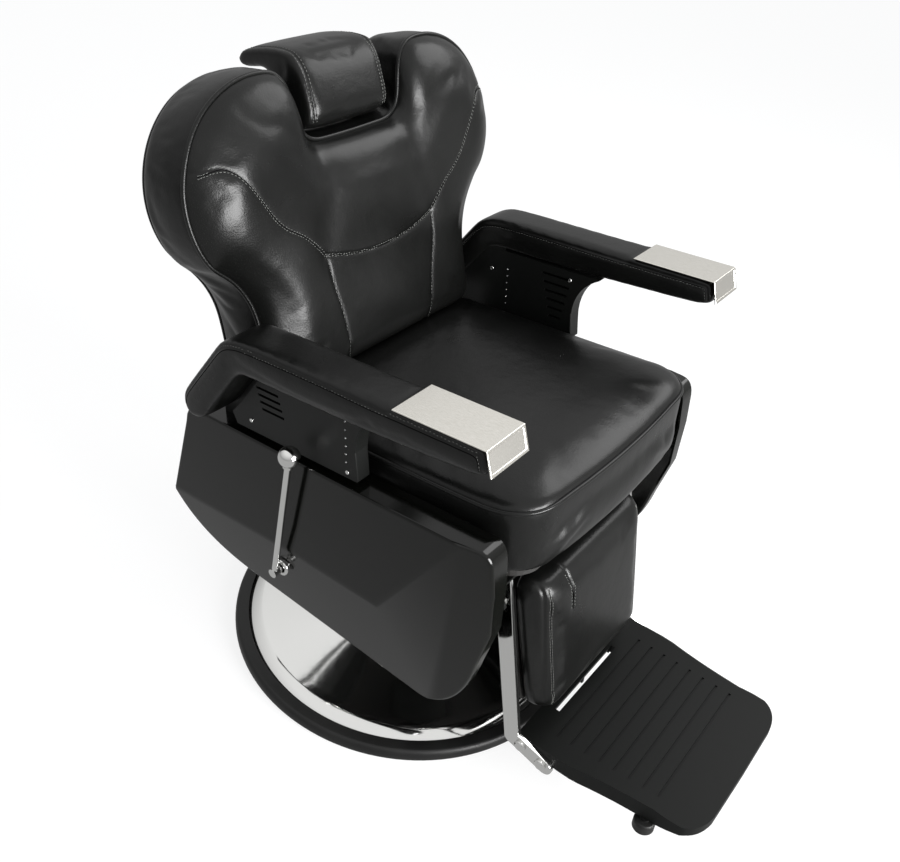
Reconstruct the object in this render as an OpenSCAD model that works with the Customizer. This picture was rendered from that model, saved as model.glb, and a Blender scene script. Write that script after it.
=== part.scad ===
// Hydraulic barber chair, built as an assembly of separate pieces.
//
// Frame: +Z is up, the sitter faces -Y, the sitter's right hand is at -X,
// and the origin is the middle of the round base on the floor. Millimetres.
//
// The chair lifts on a hydraulic pump, turns on the pump's ram, and reclines:
// two link bars make the back and the leg rest swing together.

/* [Base and pump] */
// Outer radius of the rubber ring round the base
base_r = 325; // [300:1:350]
// Width of the rubber ring
base_ring_w = 20; // [16:1:26]
// Height of the rubber ring
base_ring_h = 24; // [20:1:30]
// Height of the chrome dish at its middle
base_dish_h = 62; // [54:1:70]
// Outer radius of the pump cylinder
pump_r = 50; // [46:1:56]
// Height of the top of the pump cylinder
pump_top_z = 298; // [292:1:302]
// Radius of the ram
ram_r = 25; // [22:0.5:28]
// Stroke of the lift
lift_stroke = 160; // [120:1:165]

/* [Seat] */
// Slope of the seat, front edge up, in degrees
seat_tilt = 7; // [5:0.5:9]
// Width of the seat cushion at its widest
seat_w = 498; // [470:1:510]
// Depth of the seat cushion at its middle
seat_depth = 463; // [450:1:470]
// Height of the cushion's side from board to piping
seat_side_h = 107; // [90:1:112]
// Rise of the crown above the piping
seat_crown = 20; // [12:1:26]
// Distance from the cushion's side in to each side plate of the frame
frame_inset = 45; // [43:1:50]

/* [Back] */
// Lean of the back from upright, in degrees
back_tilt = 15; // [12:0.5:18]
// Half width of the back across its two lobes
back_half_w = 328; // [310:1:335]
// Gap between the back's waist and each arm pad
waist_clear = 14; // [10:1:24]
// Length of the back from its lower edge to the top of the lobes
back_len = 455; // [440:1:470]
// Depth of the back cushion from piping to rear panel
back_depth = 98; // [85:1:105]
// Rise of the crown in front of the piping
back_crown = 36; // [25:1:42]
// Full angle that the back reclines, in degrees
recline_max = 45; // [30:1:45]

/* [Arms and side casings] */
// Gap between the seat cushion and each arm pad
arm_clear = 8; // [6:0.5:16]
// Width of an arm pad
arm_pad_w = 79; // [70:1:90]
// Thickness of an arm pad
arm_pad_t = 46; // [40:1:52]
// Length of the metal cap plate along the arm
arm_cap_len = 137; // [110:1:150]
// Wall of the moulded arm panels and side casings
shell_wall = 4; // [3:0.5:5]
// Width of a side casing at its ridge
casing_w = 53; // [48:1:60]
// Gap between the seat cushion and each side casing
casing_clear = 3; // [2:0.5:6]

/* [Leg rest] */
// Lean of the leg rest, foot end forward, in degrees
leg_tilt = 14; // [12:0.5:16]
// Gap between the calf pad and each leg arm
calf_clear = 18; // [12:1:30]
// Length of the calf pad
calf_len = 250; // [230:1:252]
// Distance from the leg arms in to the foot plate's sides near its front edge
plate_inset = 17; // [12:1:24]
// Slope of the foot plate, front edge up, in degrees
plate_tilt = 4; // [2:0.5:6]

/* [Fits] */
// Radial clearance of a shaft that turns or slides in its bore
run_clear = 0.05; // [0.02:0.01:0.1]
// Gap between upholstery and its neighbours
soft_gap = 0.6; // [0.4:0.1:2]

/* [Hidden] */

$fn = 96;
eps = 0.01;

// Base and pump
dish_skin = 3;
rim_r = base_r - base_ring_w - 0.2;
ring_foot_r = base_r - 35;
ring_foot_h = 7.8;
plate_h = 10;
boss_r = 102;
flange_r = 92;
flange_t = 10;
flange_top = base_dish_h + flange_t;
bolt_circle_r = 74;
bolt_r = 5;
piston_r = 33;
piston_low = 92;
piston_h = 20;
gland_h = 14;
hub_low = 318;
hub_top = 366;
ram_top = hub_top - 2;
pedal_pivot = [80, 88];
pedal_tip = [420, 76];
pedal_w = 26;

// Pivots, as [y, z] seen from the side at rest
back_pivot = [172, 440];
leg_pivot = [-258, 440];
lever_pivot = [48, 310];
crank_len = 60;
crank = crank_len * [-sin(leg_tilt), -cos(leg_tilt)];
back_crank_pin = back_pivot + crank;
leg_crank_pin = leg_pivot + crank;
gas_swing = recline_max / 2;
gas_pin = back_pivot + crank_len * [sin(gas_swing), -cos(gas_swing)];
gas_axis_z = back_pivot[1] - crank_len * (1 + cos(gas_swing)) / 2;
gas_play = crank_len * (1 - cos(gas_swing)) / 2 + 0.6;

// Layers of the linkage, as distances from the middle of the chair
frame_x = seat_w / 2 - frame_inset;
frame_t = 6;
leg_arm_x = frame_x - 32;
leg_arm_t = 8;
link_x = frame_x - 18;
link_t = 6;
bracket_x = frame_x - 10;
bracket_t = 8;
gas_eye_x = frame_x + 14;
gas_x = frame_x + 19;
gas_crank_x = frame_x + 26;
gas_body_r = 11;
gas_rod_r = 5;
gas_pin_r = 5;
back_shaft_r = 10;
leg_pin_r = 8;
link_pin_r = 6;
link_w = 20;
lever_shaft_r = 6;

// Levels in the seat's own tilted frame
seat_rear_y = 65;
seat_front_y = seat_rear_y - seat_depth;
board_top = 447;
board_t = 15;
board_low = board_top - board_t;
piping_z = board_top + soft_gap + seat_side_h;
casing_top = 524;
casing_in = seat_w / 2 + casing_clear;
casing_half_w = casing_in + casing_w;
casing_ridge_z = 351;
ridge_peak = [casing_half_w, -183, casing_ridge_z - 2];
ridge_mid = [casing_half_w, -12, casing_ridge_z];
ridge_rear = [casing_half_w - 4, 258, casing_ridge_z];
top_mid = [casing_half_w - 8, -98, casing_top];
bottom_mid = [casing_half_w - 25, -100, 204];
top_front = [casing_half_w - 15, -359, casing_top];
bottom_front = [casing_half_w - 29, -278, 194];
arm_top = 710;
arm_in = seat_w / 2 + arm_clear;
pad_in = arm_in + 0.2;
panel_in = arm_in + 5;
panel_w = 26;
panel_out = panel_in + panel_w;
panel_low = casing_top + 9;
panel_top = 655.6;
panel_front = -138;
support_x = panel_in + 9;
support_front = panel_front + 13;
support_rear = 8;

// The steel frame under the seat
cross_y = [-130, 60];
cross_w = 40;
cross_low = 330;
cross_h = 25;

// Recline lever and gas spring
lever_on_seat = [lever_pivot[0] * cos(seat_tilt) - lever_pivot[1] * sin(seat_tilt),
                 lever_pivot[0] * sin(seat_tilt) + lever_pivot[1] * cos(seat_tilt)];
escutcheon_x = casing_half_w - 7;
escutcheon_bore = 8.6;
escutcheon_sleeve = 9.8;
lever_x = casing_half_w + 13;
lever_ball = [28, 549];
lever_ball_r = 16;
// travel of the cam before it presses the gas spring's release pin, plus half the cam's width
cam_free = 25;
gas_head_y = 24;
gas_tail_y = 126;

// The back's own frame: depth towards the rear, then up along the back
back_origin = [0, 155, 600];
back_bottom = -55;
back_top = back_bottom + back_len;
back_waist = arm_in - waist_clear;
shell_t = 10;
shell_front = back_depth + soft_gap;
shell_rear = shell_front + shell_t;
notch_half_w = 106;
notch_bottom = back_top - 108;
lobe_x = 175;
lobe_r = back_half_w - lobe_x;
lobe_c = [lobe_x, back_top - lobe_r];
bracket_bend = [121, -58];
bracket_head = [121, 128];

// Headrest: its bar, its clamping guide and its pad
bar_y = 118;
bar_w = 30;
bar_t = 5;
guide_low = 225;
guide_h = 44;
headrest_half_w = 88;
headrest_low = notch_bottom + 8;

// Leg rest
arm_bend = [-340, 122];
arm_toe = [-404, 106];
leg_arm_w = 28;
foot_bolt_at = [[-358, 118], [-398, 108]];
calf_w = 2 * (leg_arm_x - calf_clear);
calf_top = -45;
calf_front = -50;
calf_back = 2;

// The foot plate's own frame: its origin is the middle of the rear slot
plate_origin = [0, -368, 130];
plate_half_w = leg_arm_x - plate_inset;
plate_t = 6;
plate_wall = 5;
bumper_at = [plate_half_w - 5, -199];
bumper_from = -30;

// ---------------------------------------------------------------- helpers

// Points along an arc
function arc(c, r, a0, a1, n) =
    [for (i = [0:n]) let (a = a0 + (a1 - a0) * i / n) c + r * [cos(a), sin(a)]];

// Points along a curve from p to r that heads for q
function curve(p, q, r, n) =
    [for (i = [0:n]) let (t = i / n) (1 - t) * (1 - t) * p + 2 * t * (1 - t) * q + t * t * r];

function clamp(v, low, high) = min(max(v, low), high);

function reversed(list) = [for (i = [len(list) - 1:-1:0]) list[i]];

// A half outline and its mirror image across x = 0
function both_halves(half) = concat(half, [for (p = reversed(half)) if (p[0] > eps) [-p[0], p[1]]]);

// Turns a side view, drawn as [y, z], into a solid between two x planes
module across(x0, x1) {
    translate([x0, 0, 0]) rotate([90, 0, 90]) linear_extrude(x1 - x0) children();
}

module rod_x(x0, x1, at, r) {
    translate([x0, at[0], at[1]]) rotate([0, 90, 0]) cylinder(h = x1 - x0, r = r);
}

// The straight part of a flat bar, a shade narrower than the bar's round ends
module strip_2d(p, q, w) {
    strip = w - 0.4;
    translate(p) rotate(atan2(q[1] - p[1], q[0] - p[0])) translate([0, -strip / 2])
        square([norm(q - p), strip]);
}

// A flat bar with round ends
module bar_2d(p, q, w) {
    translate(p) circle(d = w);
    translate(q) circle(d = w);
    strip_2d(p, q, w);
}

// A flat bar that bends at its middle point
module bent_bar_2d(p, q, r, w) {
    bar_2d(p, q, w);
    translate(r) circle(d = w);
    strip_2d(q, r, w);
}

// side is 1 for the sitter's left, -1 for the right
module sided(side) {
    if (side < 0) mirror([1, 0, 0]) children();
    else children();
}

module on_seat() { rotate([-seat_tilt, 0, 0]) children(); }

module on_back() { translate(back_origin) rotate([-back_tilt, 0, 0]) children(); }

module on_leg() { translate([0, leg_pivot[0], leg_pivot[1]]) rotate([-leg_tilt, 0, 0]) children(); }

module on_plate() { translate(plate_origin) rotate([-plate_tilt, 0, 0]) children(); }

// Triangles that close an outline of n points, all from its first point
function fan(n) = [for (i = [1:n - 2]) [0, i, i + 1]];

// Triangles that close a bent outline of n points, whose two long sides run
// from its first and its last point to the far end
function ladder(n) = [for (k = [0:ceil(n / 2) - 2]) each (k + 1 == n - 2 - k
    ? [[k, k + 1, n - 1 - k]]
    : [[k, k + 1, n - 1 - k], [k + 1, n - 2 - k, n - 1 - k]])];

// A padded solid. Each ring is [pull, level]: every point of the outline
// moves by the share pull towards its own target, at the given level.
module padded(outline, targets, rings, bent = false) {
    n = len(outline);
    cap = bent ? ladder(n) : fan(n);
    last = (len(rings) - 1) * n;
    points = [for (r = rings) for (i = [0:n - 1])
        let (p = outline[i] + r[0] * (targets[i] - outline[i])) [p[0], p[1], r[1]]];
    walls = [for (j = [0:len(rings) - 2]) for (i = [0:n - 1])
        let (a = j * n + i, b = j * n + (i + 1) % n) each [[a, a + n, b + n], [a, b + n, b]]];
    polyhedron(points, concat(cap, walls, [for (t = cap) [last + t[2], last + t[1], last + t[0]]]));
}

// Everything on the far side of the plane through a, b and c
module beyond(a, b, c, inset = 0) {
    big = 900;
    n = cross(b - a, c - a) / norm(cross(b - a, c - a));
    translate(a - inset * n)
        rotate([0, acos(n[2]), atan2(n[1], n[0])])
            translate([-big / 2, -big / 2, 0]) cube([big, big, big / 2]);
}

// ---------------------------------------------------------------- base and pump

module base_ring() {
    h = base_ring_h;
    lip = 4;
    color("#1b1b1c") rotate_extrude() polygon(concat(
        [[ring_foot_r, 0], [base_r - 3, 0]],
        curve([base_r, 5], [base_r + 1, h - 2], [base_r - 8, h], 8),
        [[base_r - base_ring_w - lip, h], [base_r - base_ring_w - lip, h - 3],
         [base_r - base_ring_w, h - 3], [base_r - base_ring_w, ring_foot_h],
         [ring_foot_r, ring_foot_h]]));
}

// The pressed dish: a flat rim, a shoulder and a raised middle
function dish_top(inset) = concat(
    [[0, base_dish_h - inset], [boss_r + 3, base_dish_h - inset]],
    curve([boss_r + 10, base_dish_h - 1 - inset], [base_r - 175, 46 - inset], [base_r - 129, 38 - inset], 8),
    curve([base_r - 89, 33 - inset], [base_r - 63, 30 - inset], [base_r - 51, 26 - inset], 5),
    [[base_r - base_ring_w - 5, base_ring_h - 3.2 - inset]]);

module base_dish() {
    color("#d9dadb") difference() {
        rotate_extrude() polygon(concat(
            dish_top(0),
            [[rim_r, base_ring_h - 3.6], [rim_r, 8], [rim_r - dish_skin, 8]],
            reversed([for (p = dish_top(dish_skin)) [min(p[0], rim_r - dish_skin), p[1]]])));
        bolt_holes(bolt_r + 0.5);
    }
}

// Four bores through the base for the bolts that hold the pump down
module bolt_holes(r) {
    for (a = [45:90:315]) rotate(a) translate([bolt_circle_r, 0, 20]) cylinder(h = 60, r = r);
}

// The cast weight inside the dish: a flat plate and a boss under the pump
module base_ballast() {
    boss_top = base_dish_h - dish_skin - 0.1;
    rib_end = ring_foot_r - 72;
    color("#3a3b3d") difference() {
        union() {
            rotate_extrude() polygon([
                [0, 0], [ring_foot_r - 0.5, 0], [ring_foot_r - 0.5, plate_h], [boss_r + 8, plate_h + 3],
                [boss_r, plate_h + 10], [boss_r, boss_top - 2], [boss_r - 2, boss_top], [0, boss_top]]);
            for (a = [0:60:300]) rotate(a) translate([boss_r - 4, -5, plate_h - 1])
                cube([rib_end - boss_r + 4, 10, 12]);
        }
        bolt_holes(bolt_r + run_clear);
    }
}

module pump_outside() {
    rotate_extrude() polygon(concat(
        [[0, base_dish_h], [flange_r, base_dish_h], [flange_r, flange_top - 2],
         [flange_r - 2, flange_top]],
        curve([pump_r + 12, flange_top], [pump_r, flange_top], [pump_r, flange_top + 12], 6),
        [[pump_r, pump_top_z], [0, pump_top_z]]));
}

module pump_cylinder() {
    color("#c9cacc") difference() {
        pump_outside();
        translate([0, 0, flange_top + 2]) cylinder(h = pump_top_z, r = piston_r);
        bolt_holes(bolt_r + 0.5);
    }
}

module pump_gland() {
    color("#c9cacc") rotate_extrude() polygon([
        [ram_r + run_clear, pump_top_z], [pump_r + 3, pump_top_z], [pump_r + 3, pump_top_z + 9],
        [pump_r - 2, pump_top_z + gland_h], [ram_r + run_clear, pump_top_z + gland_h]]);
}

// One of the four bolts that hold the pump's flange down
module base_bolt(i) {
    color("#b9bbbd") rotate(45 + 90 * i) translate([bolt_circle_r, 0, flange_top]) {
        cylinder(h = 2, r = 10);
        translate([0, 0, 2]) cylinder(h = 7, r = 8.5, $fn = 6);
        translate([0, 0, 26 - flange_top]) cylinder(h = flange_top - 26, r = bolt_r);
    }
}

module pedal_bracket() {
    cheek_in = 15;
    cheek_t = 6;
    rear_y = pump_r + 13;
    color("#3a3b3d") {
        for (side = [-1, 1]) sided(side) difference() {
            across(cheek_in, cheek_in + cheek_t) {
                bar_2d(pedal_pivot, pedal_pivot + [0, -3], 26);
                translate([rear_y, flange_top]) square([26, 14]);
            }
            rod_x(10, 30, pedal_pivot, 5 + run_clear);
        }
        translate([-cheek_in - 1, rear_y, flange_top]) cube([2 * cheek_in + 2, 5, 12]);
    }
}

module pedal_arm() {
    color("#c9cacc") {
        difference() {
            across(-pedal_w / 2, pedal_w / 2) {
                translate(pedal_pivot) circle(r = 11);
                polygon(concat(
                    curve(pedal_pivot + [0, -8], [140, 76], [300, 62], 8),
                    [pedal_tip - [0, 6], pedal_tip + [0, 3]],
                    reversed(curve(pedal_pivot + [0, 9], [140, 90], [300, 76], 8))));
            }
            translate([0, 190, 0]) cylinder(h = 200, r = 7);
            translate([0, 230, 0]) cylinder(h = 200, r = 7);
        }
        rod_x(-22, 22, pedal_pivot, 5);
    }
}

module pedal_pad() {
    grip_r = 13;
    color("#1b1b1c") difference() {
        translate([0, pedal_tip[0] - 4, pedal_tip[1] - 1.5]) rotate([0, 90, 0])
            rotate_extrude() polygon(concat(
                [[0, -52]], curve([grip_r - 3, -52], [grip_r, -52], [grip_r, -48], 4),
                curve([grip_r, 48], [grip_r, 52], [grip_r - 3, 52], 4), [[0, 52]]));
        translate([-pedal_w / 2 - 0.1, 0, pedal_tip[1] - 7.6]) cube([pedal_w + 0.2, 423, 10.8]);
    }
}

module pump_piston() {
    color("#8f9194") translate([0, 0, piston_low]) cylinder(h = piston_h, r = piston_r - run_clear);
}

module pump_ram() {
    color("#d9dadb") translate([0, 0, piston_low + piston_h])
        cylinder(h = ram_top - piston_low - piston_h, r = ram_r);
}

// ---------------------------------------------------------------- seat frame

module seat_hub() {
    color("#2a2b2c") difference() {
        union() {
            translate([0, 0, hub_low]) cylinder(h = hub_top - hub_low, r = 38);
            difference() {
                translate([-75, cross_y[0], hub_low + 6])
                    cube([150, cross_y[1] + cross_w - cross_y[0], cross_low - hub_low - 6]);
                for (sx = [-1, 1], y = [cross_y[0] + 20, cross_y[1] + 20])
                    translate([sx * 60, y, hub_low]) cylinder(h = 40, r = 5);
            }
            for (a = [0:90:270]) rotate(a + 45)
                translate([36, -3, cross_low]) rotate([90, 0, 0]) translate([0, 0, -6])
                    linear_extrude(6) polygon([[0, 0], [22, 0], [0, 30]]);
        }
        translate([0, 0, hub_low - 1]) cylinder(h = ram_top - hub_low + 1, r = ram_r + run_clear);
    }
}

module frame_side_2d() {
    difference() {
        union() {
            polygon([[-262, 418], [-150, cross_low - 5], [118, cross_low - 5], [196, 440],
                     [150, 448], [118, seat_line(118)], [-292, seat_line(-292)], [-278, 440]]);
            translate(leg_pivot) circle(r = 22);
            translate(back_pivot) circle(r = 22);
        }
        translate([-160, 392]) circle(r = 22);
        translate([-95, 385]) circle(r = 22);
        translate([70, 378]) circle(r = 16);
        translate([118, 396]) circle(r = 14);
    }
}

// Height at y of the underside of the seat board's steel flange
function seat_line(y) = (board_low - 4) / cos(seat_tilt) - y * tan(seat_tilt);

module frame_side(side) {
    sided(side) difference() {
        union() {
            across(frame_x, frame_x + frame_t) frame_side_2d();
            on_seat() translate([frame_x, -350, board_low - 4]) cube([32, 412, 4]);
            if (side < 0) across(frame_x, frame_x + frame_t) bar_2d(lever_pivot, lever_pivot + [0, 40], 34);
        }
        rod_x(frame_x - 10, frame_x + 20, leg_pivot, leg_pin_r + run_clear);
        rod_x(frame_x - 10, frame_x + 20, back_pivot, back_shaft_r + run_clear);
        rod_x(frame_x - 10, frame_x + 20, lever_pivot, lever_shaft_r + run_clear);
    }
}

module seat_frame() {
    color("#2a2b2c") {
        for (side = [-1, 1]) frame_side(side);
        for (y = cross_y) difference() {
            translate([-frame_x, y, cross_low]) cube([2 * frame_x, cross_w, cross_h]);
            translate([-frame_x + 2, y + 2, cross_low + 2])
                cube([2 * frame_x - 4, cross_w - 4, cross_h - 4]);
        }
        // the lug that holds the gas spring's neck, on the right-hand side plate
        sided(-1) difference() {
            translate([frame_x + frame_t, 24, 371]) cube([28, 6, 33]);
            translate([gas_x, 20, gas_axis_z]) rotate([-90, 0, 0]) cylinder(h = 20, r = 7);
        }
    }
}

function seat_half() = concat(
    [[0, seat_front_y], [62, seat_front_y + 1], [122, seat_front_y + 5]],
    arc([seat_w / 2 - 78, seat_front_y + 84], 76, -78, 0, 8),
    [[seat_w / 2, seat_front_y + 148], [seat_w / 2, seat_rear_y - 195], [seat_w / 2 - 3, seat_rear_y - 95]],
    arc([seat_w / 2 - 40, seat_rear_y - 30], 32, 5, 90, 5),
    [[100, seat_rear_y + 2], [0, seat_rear_y + 2]]);

module seat_board() {
    half_w = seat_w / 2 - 21;
    vent_x = 120;
    vent_r = 9;
    color("#b58b5a") on_seat() difference() {
        translate([0, 0, board_low]) linear_extrude(board_t)
            polygon(both_halves(concat(
                [[0, seat_front_y + 26], [half_w - 108, seat_front_y + 28]],
                arc([half_w - 60, seat_front_y + 88], 58, -75, 0, 8),
                [[half_w, seat_rear_y - 45]], arc([half_w - 20, seat_rear_y - 35], 20, 0, 90, 4),
                [[0, seat_rear_y - 15]])));
        for (sx = [-1, 1], y = [-250, -60])
            translate([sx * vent_x, y, 0]) cylinder(h = board_top + 1, r = vent_r);
    }
}

module seat_cushion() {
    outline = both_halves(seat_half());
    targets = [for (p = outline) [0.4 * p[0], clamp(p[1], -290, -40)]];
    low = board_top + soft_gap;
    color("#141414") on_seat() padded(outline, targets, [
        [0.06, low], [0.015, low + 4], [0.01, low + 0.3 * seat_side_h],
        [0.004, low + 0.6 * seat_side_h], [-0.006, piping_z - 8], [0, piping_z],
        [0.05, piping_z + 0.42 * seat_crown], [0.15, piping_z + 0.72 * seat_crown],
        [0.32, piping_z + 0.9 * seat_crown], [0.6, piping_z + seat_crown]]);
}

// ---------------------------------------------------------------- side casings

function casing_side() = concat(
    curve([-337, 298], [-309, 183], [-243, 184], 14),
    curve([84, 236], [220, 252], [258, 346], 18),
    curve([214, 492], [210, casing_top], [188, casing_top], 4),
    curve([-340, casing_top], [-361, casing_top], [-363, casing_top - 26], 6),
    [[-365, 450], [-361, 376]]);

module casing_block(inset, inner_x) {
    difference() {
        across(inner_x, casing_half_w + 10) offset(delta = -inset) polygon(casing_side());
        beyond(ridge_mid, ridge_rear, top_mid, inset);
        beyond(ridge_peak, ridge_mid, top_mid, inset);
        beyond(bottom_mid, ridge_rear, ridge_peak, inset);
        beyond(bottom_front, ridge_peak, top_front, inset);
    }
}

module casing(side) {
    color("#0c0c0d") on_seat() sided(side) {
        difference() {
            casing_block(0, casing_in);
            casing_block(shell_wall, casing_in - 1);
            // slot for the upright of the arm support
            translate([support_x - 1.5, support_front - 2, casing_top - 10])
                cube([8, support_rear - support_front + 16, 20]);
            if (side < 0) rod_x(casing_in, casing_half_w + 10, lever_on_seat, escutcheon_sleeve + 0.2);
        }
    }
}

// ---------------------------------------------------------------- recline lever and gas spring

module lever_escutcheon() {
    color("#d9dadb") translate([-escutcheon_x, lever_pivot[0], lever_pivot[1]]) rotate([0, -90, 0])
        rotate_extrude() polygon(concat(
            [[escutcheon_bore, -8], [escutcheon_sleeve, -8], [escutcheon_sleeve, 3.4], [13.5, 3.4]],
            curve([14.5, 4.2], [14.5, 8.6], [11.5, 8.6], 6),
            curve([10, 8.6], [escutcheon_bore, 8.6], [escutcheon_bore, 7], 3)));
}

module recline_lever() {
    rod_r = 5;
    hub_r = 7.5;
    cam_x = frame_x + frame_t + 5;
    to_ball = lever_ball - lever_pivot;
    arm_len = norm(to_ball);
    color("#e2e3e4") {
        rod_x(-lever_x, -frame_x + 4, lever_pivot, lever_shaft_r);
        rod_x(-lever_x - 5.5, -lever_x + 5.5, lever_pivot, hub_r);
        translate([-lever_x, lever_pivot[0], lever_pivot[1]])
            rotate([atan2(-to_ball[0], to_ball[1]), 0, 0]) cylinder(h = arm_len, r = rod_r);
        // the cam that presses the gas spring's release pin
        across(-cam_x - 16, -cam_x) difference() {
            union() {
                translate(lever_pivot) circle(r = 13);
                bar_2d(lever_pivot, [gas_head_y - 4 - cam_free, gas_axis_z], 9);
            }
            translate(lever_pivot) circle(r = lever_shaft_r - 1);
        }
    }
}

module lever_knob() {
    to_ball = lever_ball - lever_pivot;
    color("#e8e9ea") translate([-lever_x, lever_ball[0], lever_ball[1]])
        rotate([atan2(-to_ball[0], to_ball[1]), 0, 0]) difference() {
            union() {
                sphere(r = lever_ball_r);
                translate([0, 0, -lever_ball_r - 3]) cylinder(h = 6, r = 7.5);
            }
            translate([0, 0, -30]) cylinder(h = 30, r = 5.05);
        }
}

module gas_spring_body() {
    bore = gas_rod_r + run_clear;
    color("#1a1a1b") translate([-gas_x, 0, gas_axis_z]) rotate([-90, 0, 0]) difference() {
        union() {
            translate([0, 0, gas_head_y + 6.2]) cylinder(h = gas_tail_y - gas_head_y - 6.2, r = gas_body_r);
            translate([0, 0, gas_head_y - 4]) cylinder(h = 14, r = 6.9);
            translate([0, 0, gas_head_y - 8]) cylinder(h = 8, r = 2.5);
        }
        translate([0, 0, gas_head_y + 14]) cylinder(h = 120, r = bore);
    }
}

module gas_spring_rod() {
    color("#d9dadb") translate([-gas_x, 0, gas_axis_z]) {
        translate([0, 90, 0]) rotate([-90, 0, 0])
            cylinder(h = gas_pin[0] - 90 - gas_play - gas_pin_r, r = gas_rod_r);
        translate([0, gas_pin[0], 0]) rotate([0, 90, 0]) difference() {
            cylinder(h = 9, r = gas_pin_r + gas_play + 4, center = true);
            cylinder(h = 12, r = gas_pin_r + gas_play, center = true);
        }
    }
}

module link_bar(side) {
    color("#2a2b2c") sided(side) difference() {
        across(link_x, link_x + link_t) bar_2d(back_crank_pin, leg_crank_pin, link_w);
        rod_x(link_x - 2, link_x + link_t + 2, back_crank_pin, link_pin_r + run_clear);
        rod_x(link_x - 2, link_x + link_t + 2, leg_crank_pin, link_pin_r + 0.6);
    }
}

// ---------------------------------------------------------------- arms

module arm_support(side) {
    t = 5;
    foot_top = board_low - 4;
    head_z = panel_top - shell_wall - 0.2;
    color("#2a2b2c") on_seat() sided(side) difference() {
        translate([0, support_rear, 0]) rotate([90, 0, 0])
            linear_extrude(support_rear - support_front) union() {
            translate([frame_x + frame_t, foot_top - t]) square([support_x - frame_x - frame_t - 5, t]);
            translate([support_x - 5, foot_top - t + 10]) difference() {
                circle(r = 10);
                circle(r = 10 - t);
                translate([-20, 0]) square([40, 20]);
                translate([-20, -20]) square([20, 40]);
            }
            translate([support_x, foot_top - t + 10]) square([t, head_z - foot_top - 15 + t]);
            translate([support_x, head_z - t]) square([11, t]);
        }
        translate([support_x - 20, -20, 500]) rotate([0, 90, 0]) cylinder(h = 40, r = 22);
        translate([support_x - 20, -62, 546]) rotate([0, 90, 0]) cylinder(h = 40, r = 26);
        translate([support_x - 20, -98, 500]) rotate([0, 90, 0]) cylinder(h = 40, r = 18);
        for (y = [-108, -59, -10]) translate([frame_x + 24, y, 300]) cylinder(h = 300, r = 4.5);
    }
}

// Side view of an arm panel: its rear edge slopes along the pad's hook
function panel_outline() = concat(
    [[98, panel_low], [106, panel_low + 18], [84, panel_low + 42], [22, panel_top]],
    curve([panel_front - 44, panel_top], [panel_front + 2, 632], [panel_front + 4, 580], 8),
    [[panel_front, panel_low]]);

module arm_panel(side) {
    louvre_h = 4;
    color("#131314") on_seat() sided(side) difference() {
        across(panel_in, panel_out) polygon(panel_outline());
        across(panel_in + shell_wall, panel_out - shell_wall)
            offset(delta = -shell_wall) polygon(concat([[98, panel_low - 20]],
                [for (p = panel_outline()) if (p[1] > panel_low) p], [[panel_front, panel_low - 20]]));
        // louvres on the inner face, between the front edge and the middle
        for (i = [0:5])
            across(panel_in - 1, panel_in + shell_wall + 1)
                translate([panel_front + 25 - 3 * i, 562 + 15 * i]) square([24 + 7 * i, louvre_h]);
        // louvres on the outer face, near the rear
        for (i = [0:3])
            across(panel_out - shell_wall - 1, panel_out + 1)
                translate([-2 + 3 * i, 578 + 11 * i]) square([44, louvre_h]);
    }
}

function arm_pad_outline() = concat(
    [[-378, 678], [-374, 667]],
    curve([-230, 661], [-150, 657], [-20, 657], 5),
    curve([12, 657], [36, 657], [44, 649], 3),
    [[72, 613], [102, 577]],
    curve([112, 563], [126, 541], [146, 547], 5),
    curve([160, 553], [168, 572], [157, 590], 4),
    [[127, 627], [86, 676]],
    curve([72, 692], [56, arm_top - 5], [30, arm_top - 2], 4),
    [for (y = [-20, -80, -150, -220, -290, -366]) [y, arm_top]],
    [[-372, arm_top - 4]]);

// The middle line of the pad's hook, from the arm down to its tip
hook_from = [60, 684];
hook_to = [134, 570];
function hook_target(p) = let (way = hook_to - hook_from)
    hook_from + clamp((p - hook_from) * way / (way * way), 0, 1) * way;

module arm_pad(side) {
    outline = arm_pad_outline();
    targets = [for (p = outline) p[0] > 40
        ? hook_target(p) : [clamp(p[0], -352, 40), arm_top - arm_pad_t / 2]];
    color("#141414") sided(side) on_seat() rotate([90, 0, 90]) padded(outline, targets, [
        [0.26, pad_in], [0.1, pad_in + 1.5], [0, pad_in + 6], [-0.02, pad_in + 20],
        [-0.03, pad_in + arm_pad_w / 2], [-0.02, pad_in + arm_pad_w - 20],
        [0, pad_in + arm_pad_w - 6], [0.1, pad_in + arm_pad_w - 1.5], [0.26, pad_in + arm_pad_w]],
        bent = true);
}

module arm_cap(side) {
    t = 2;
    low = arm_top + 0.9;
    front_y = -374;
    color("#e6e4df") sided(side) on_seat() across(arm_in + 1, arm_in + arm_pad_w - 1) polygon([
        [front_y + arm_cap_len, low], [front_y + arm_cap_len, low + t], [front_y - 1.5, low + t],
        [front_y - 10.2, arm_top - 32], [front_y - 8, arm_top - 32.5], [front_y, low]]);
}

// ---------------------------------------------------------------- back

function to_back(p) = let (y = p[0] - back_origin[1], z = p[1] - back_origin[2])
    [y * cos(back_tilt) - z * sin(back_tilt), y * sin(back_tilt) + z * cos(back_tilt)];

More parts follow.
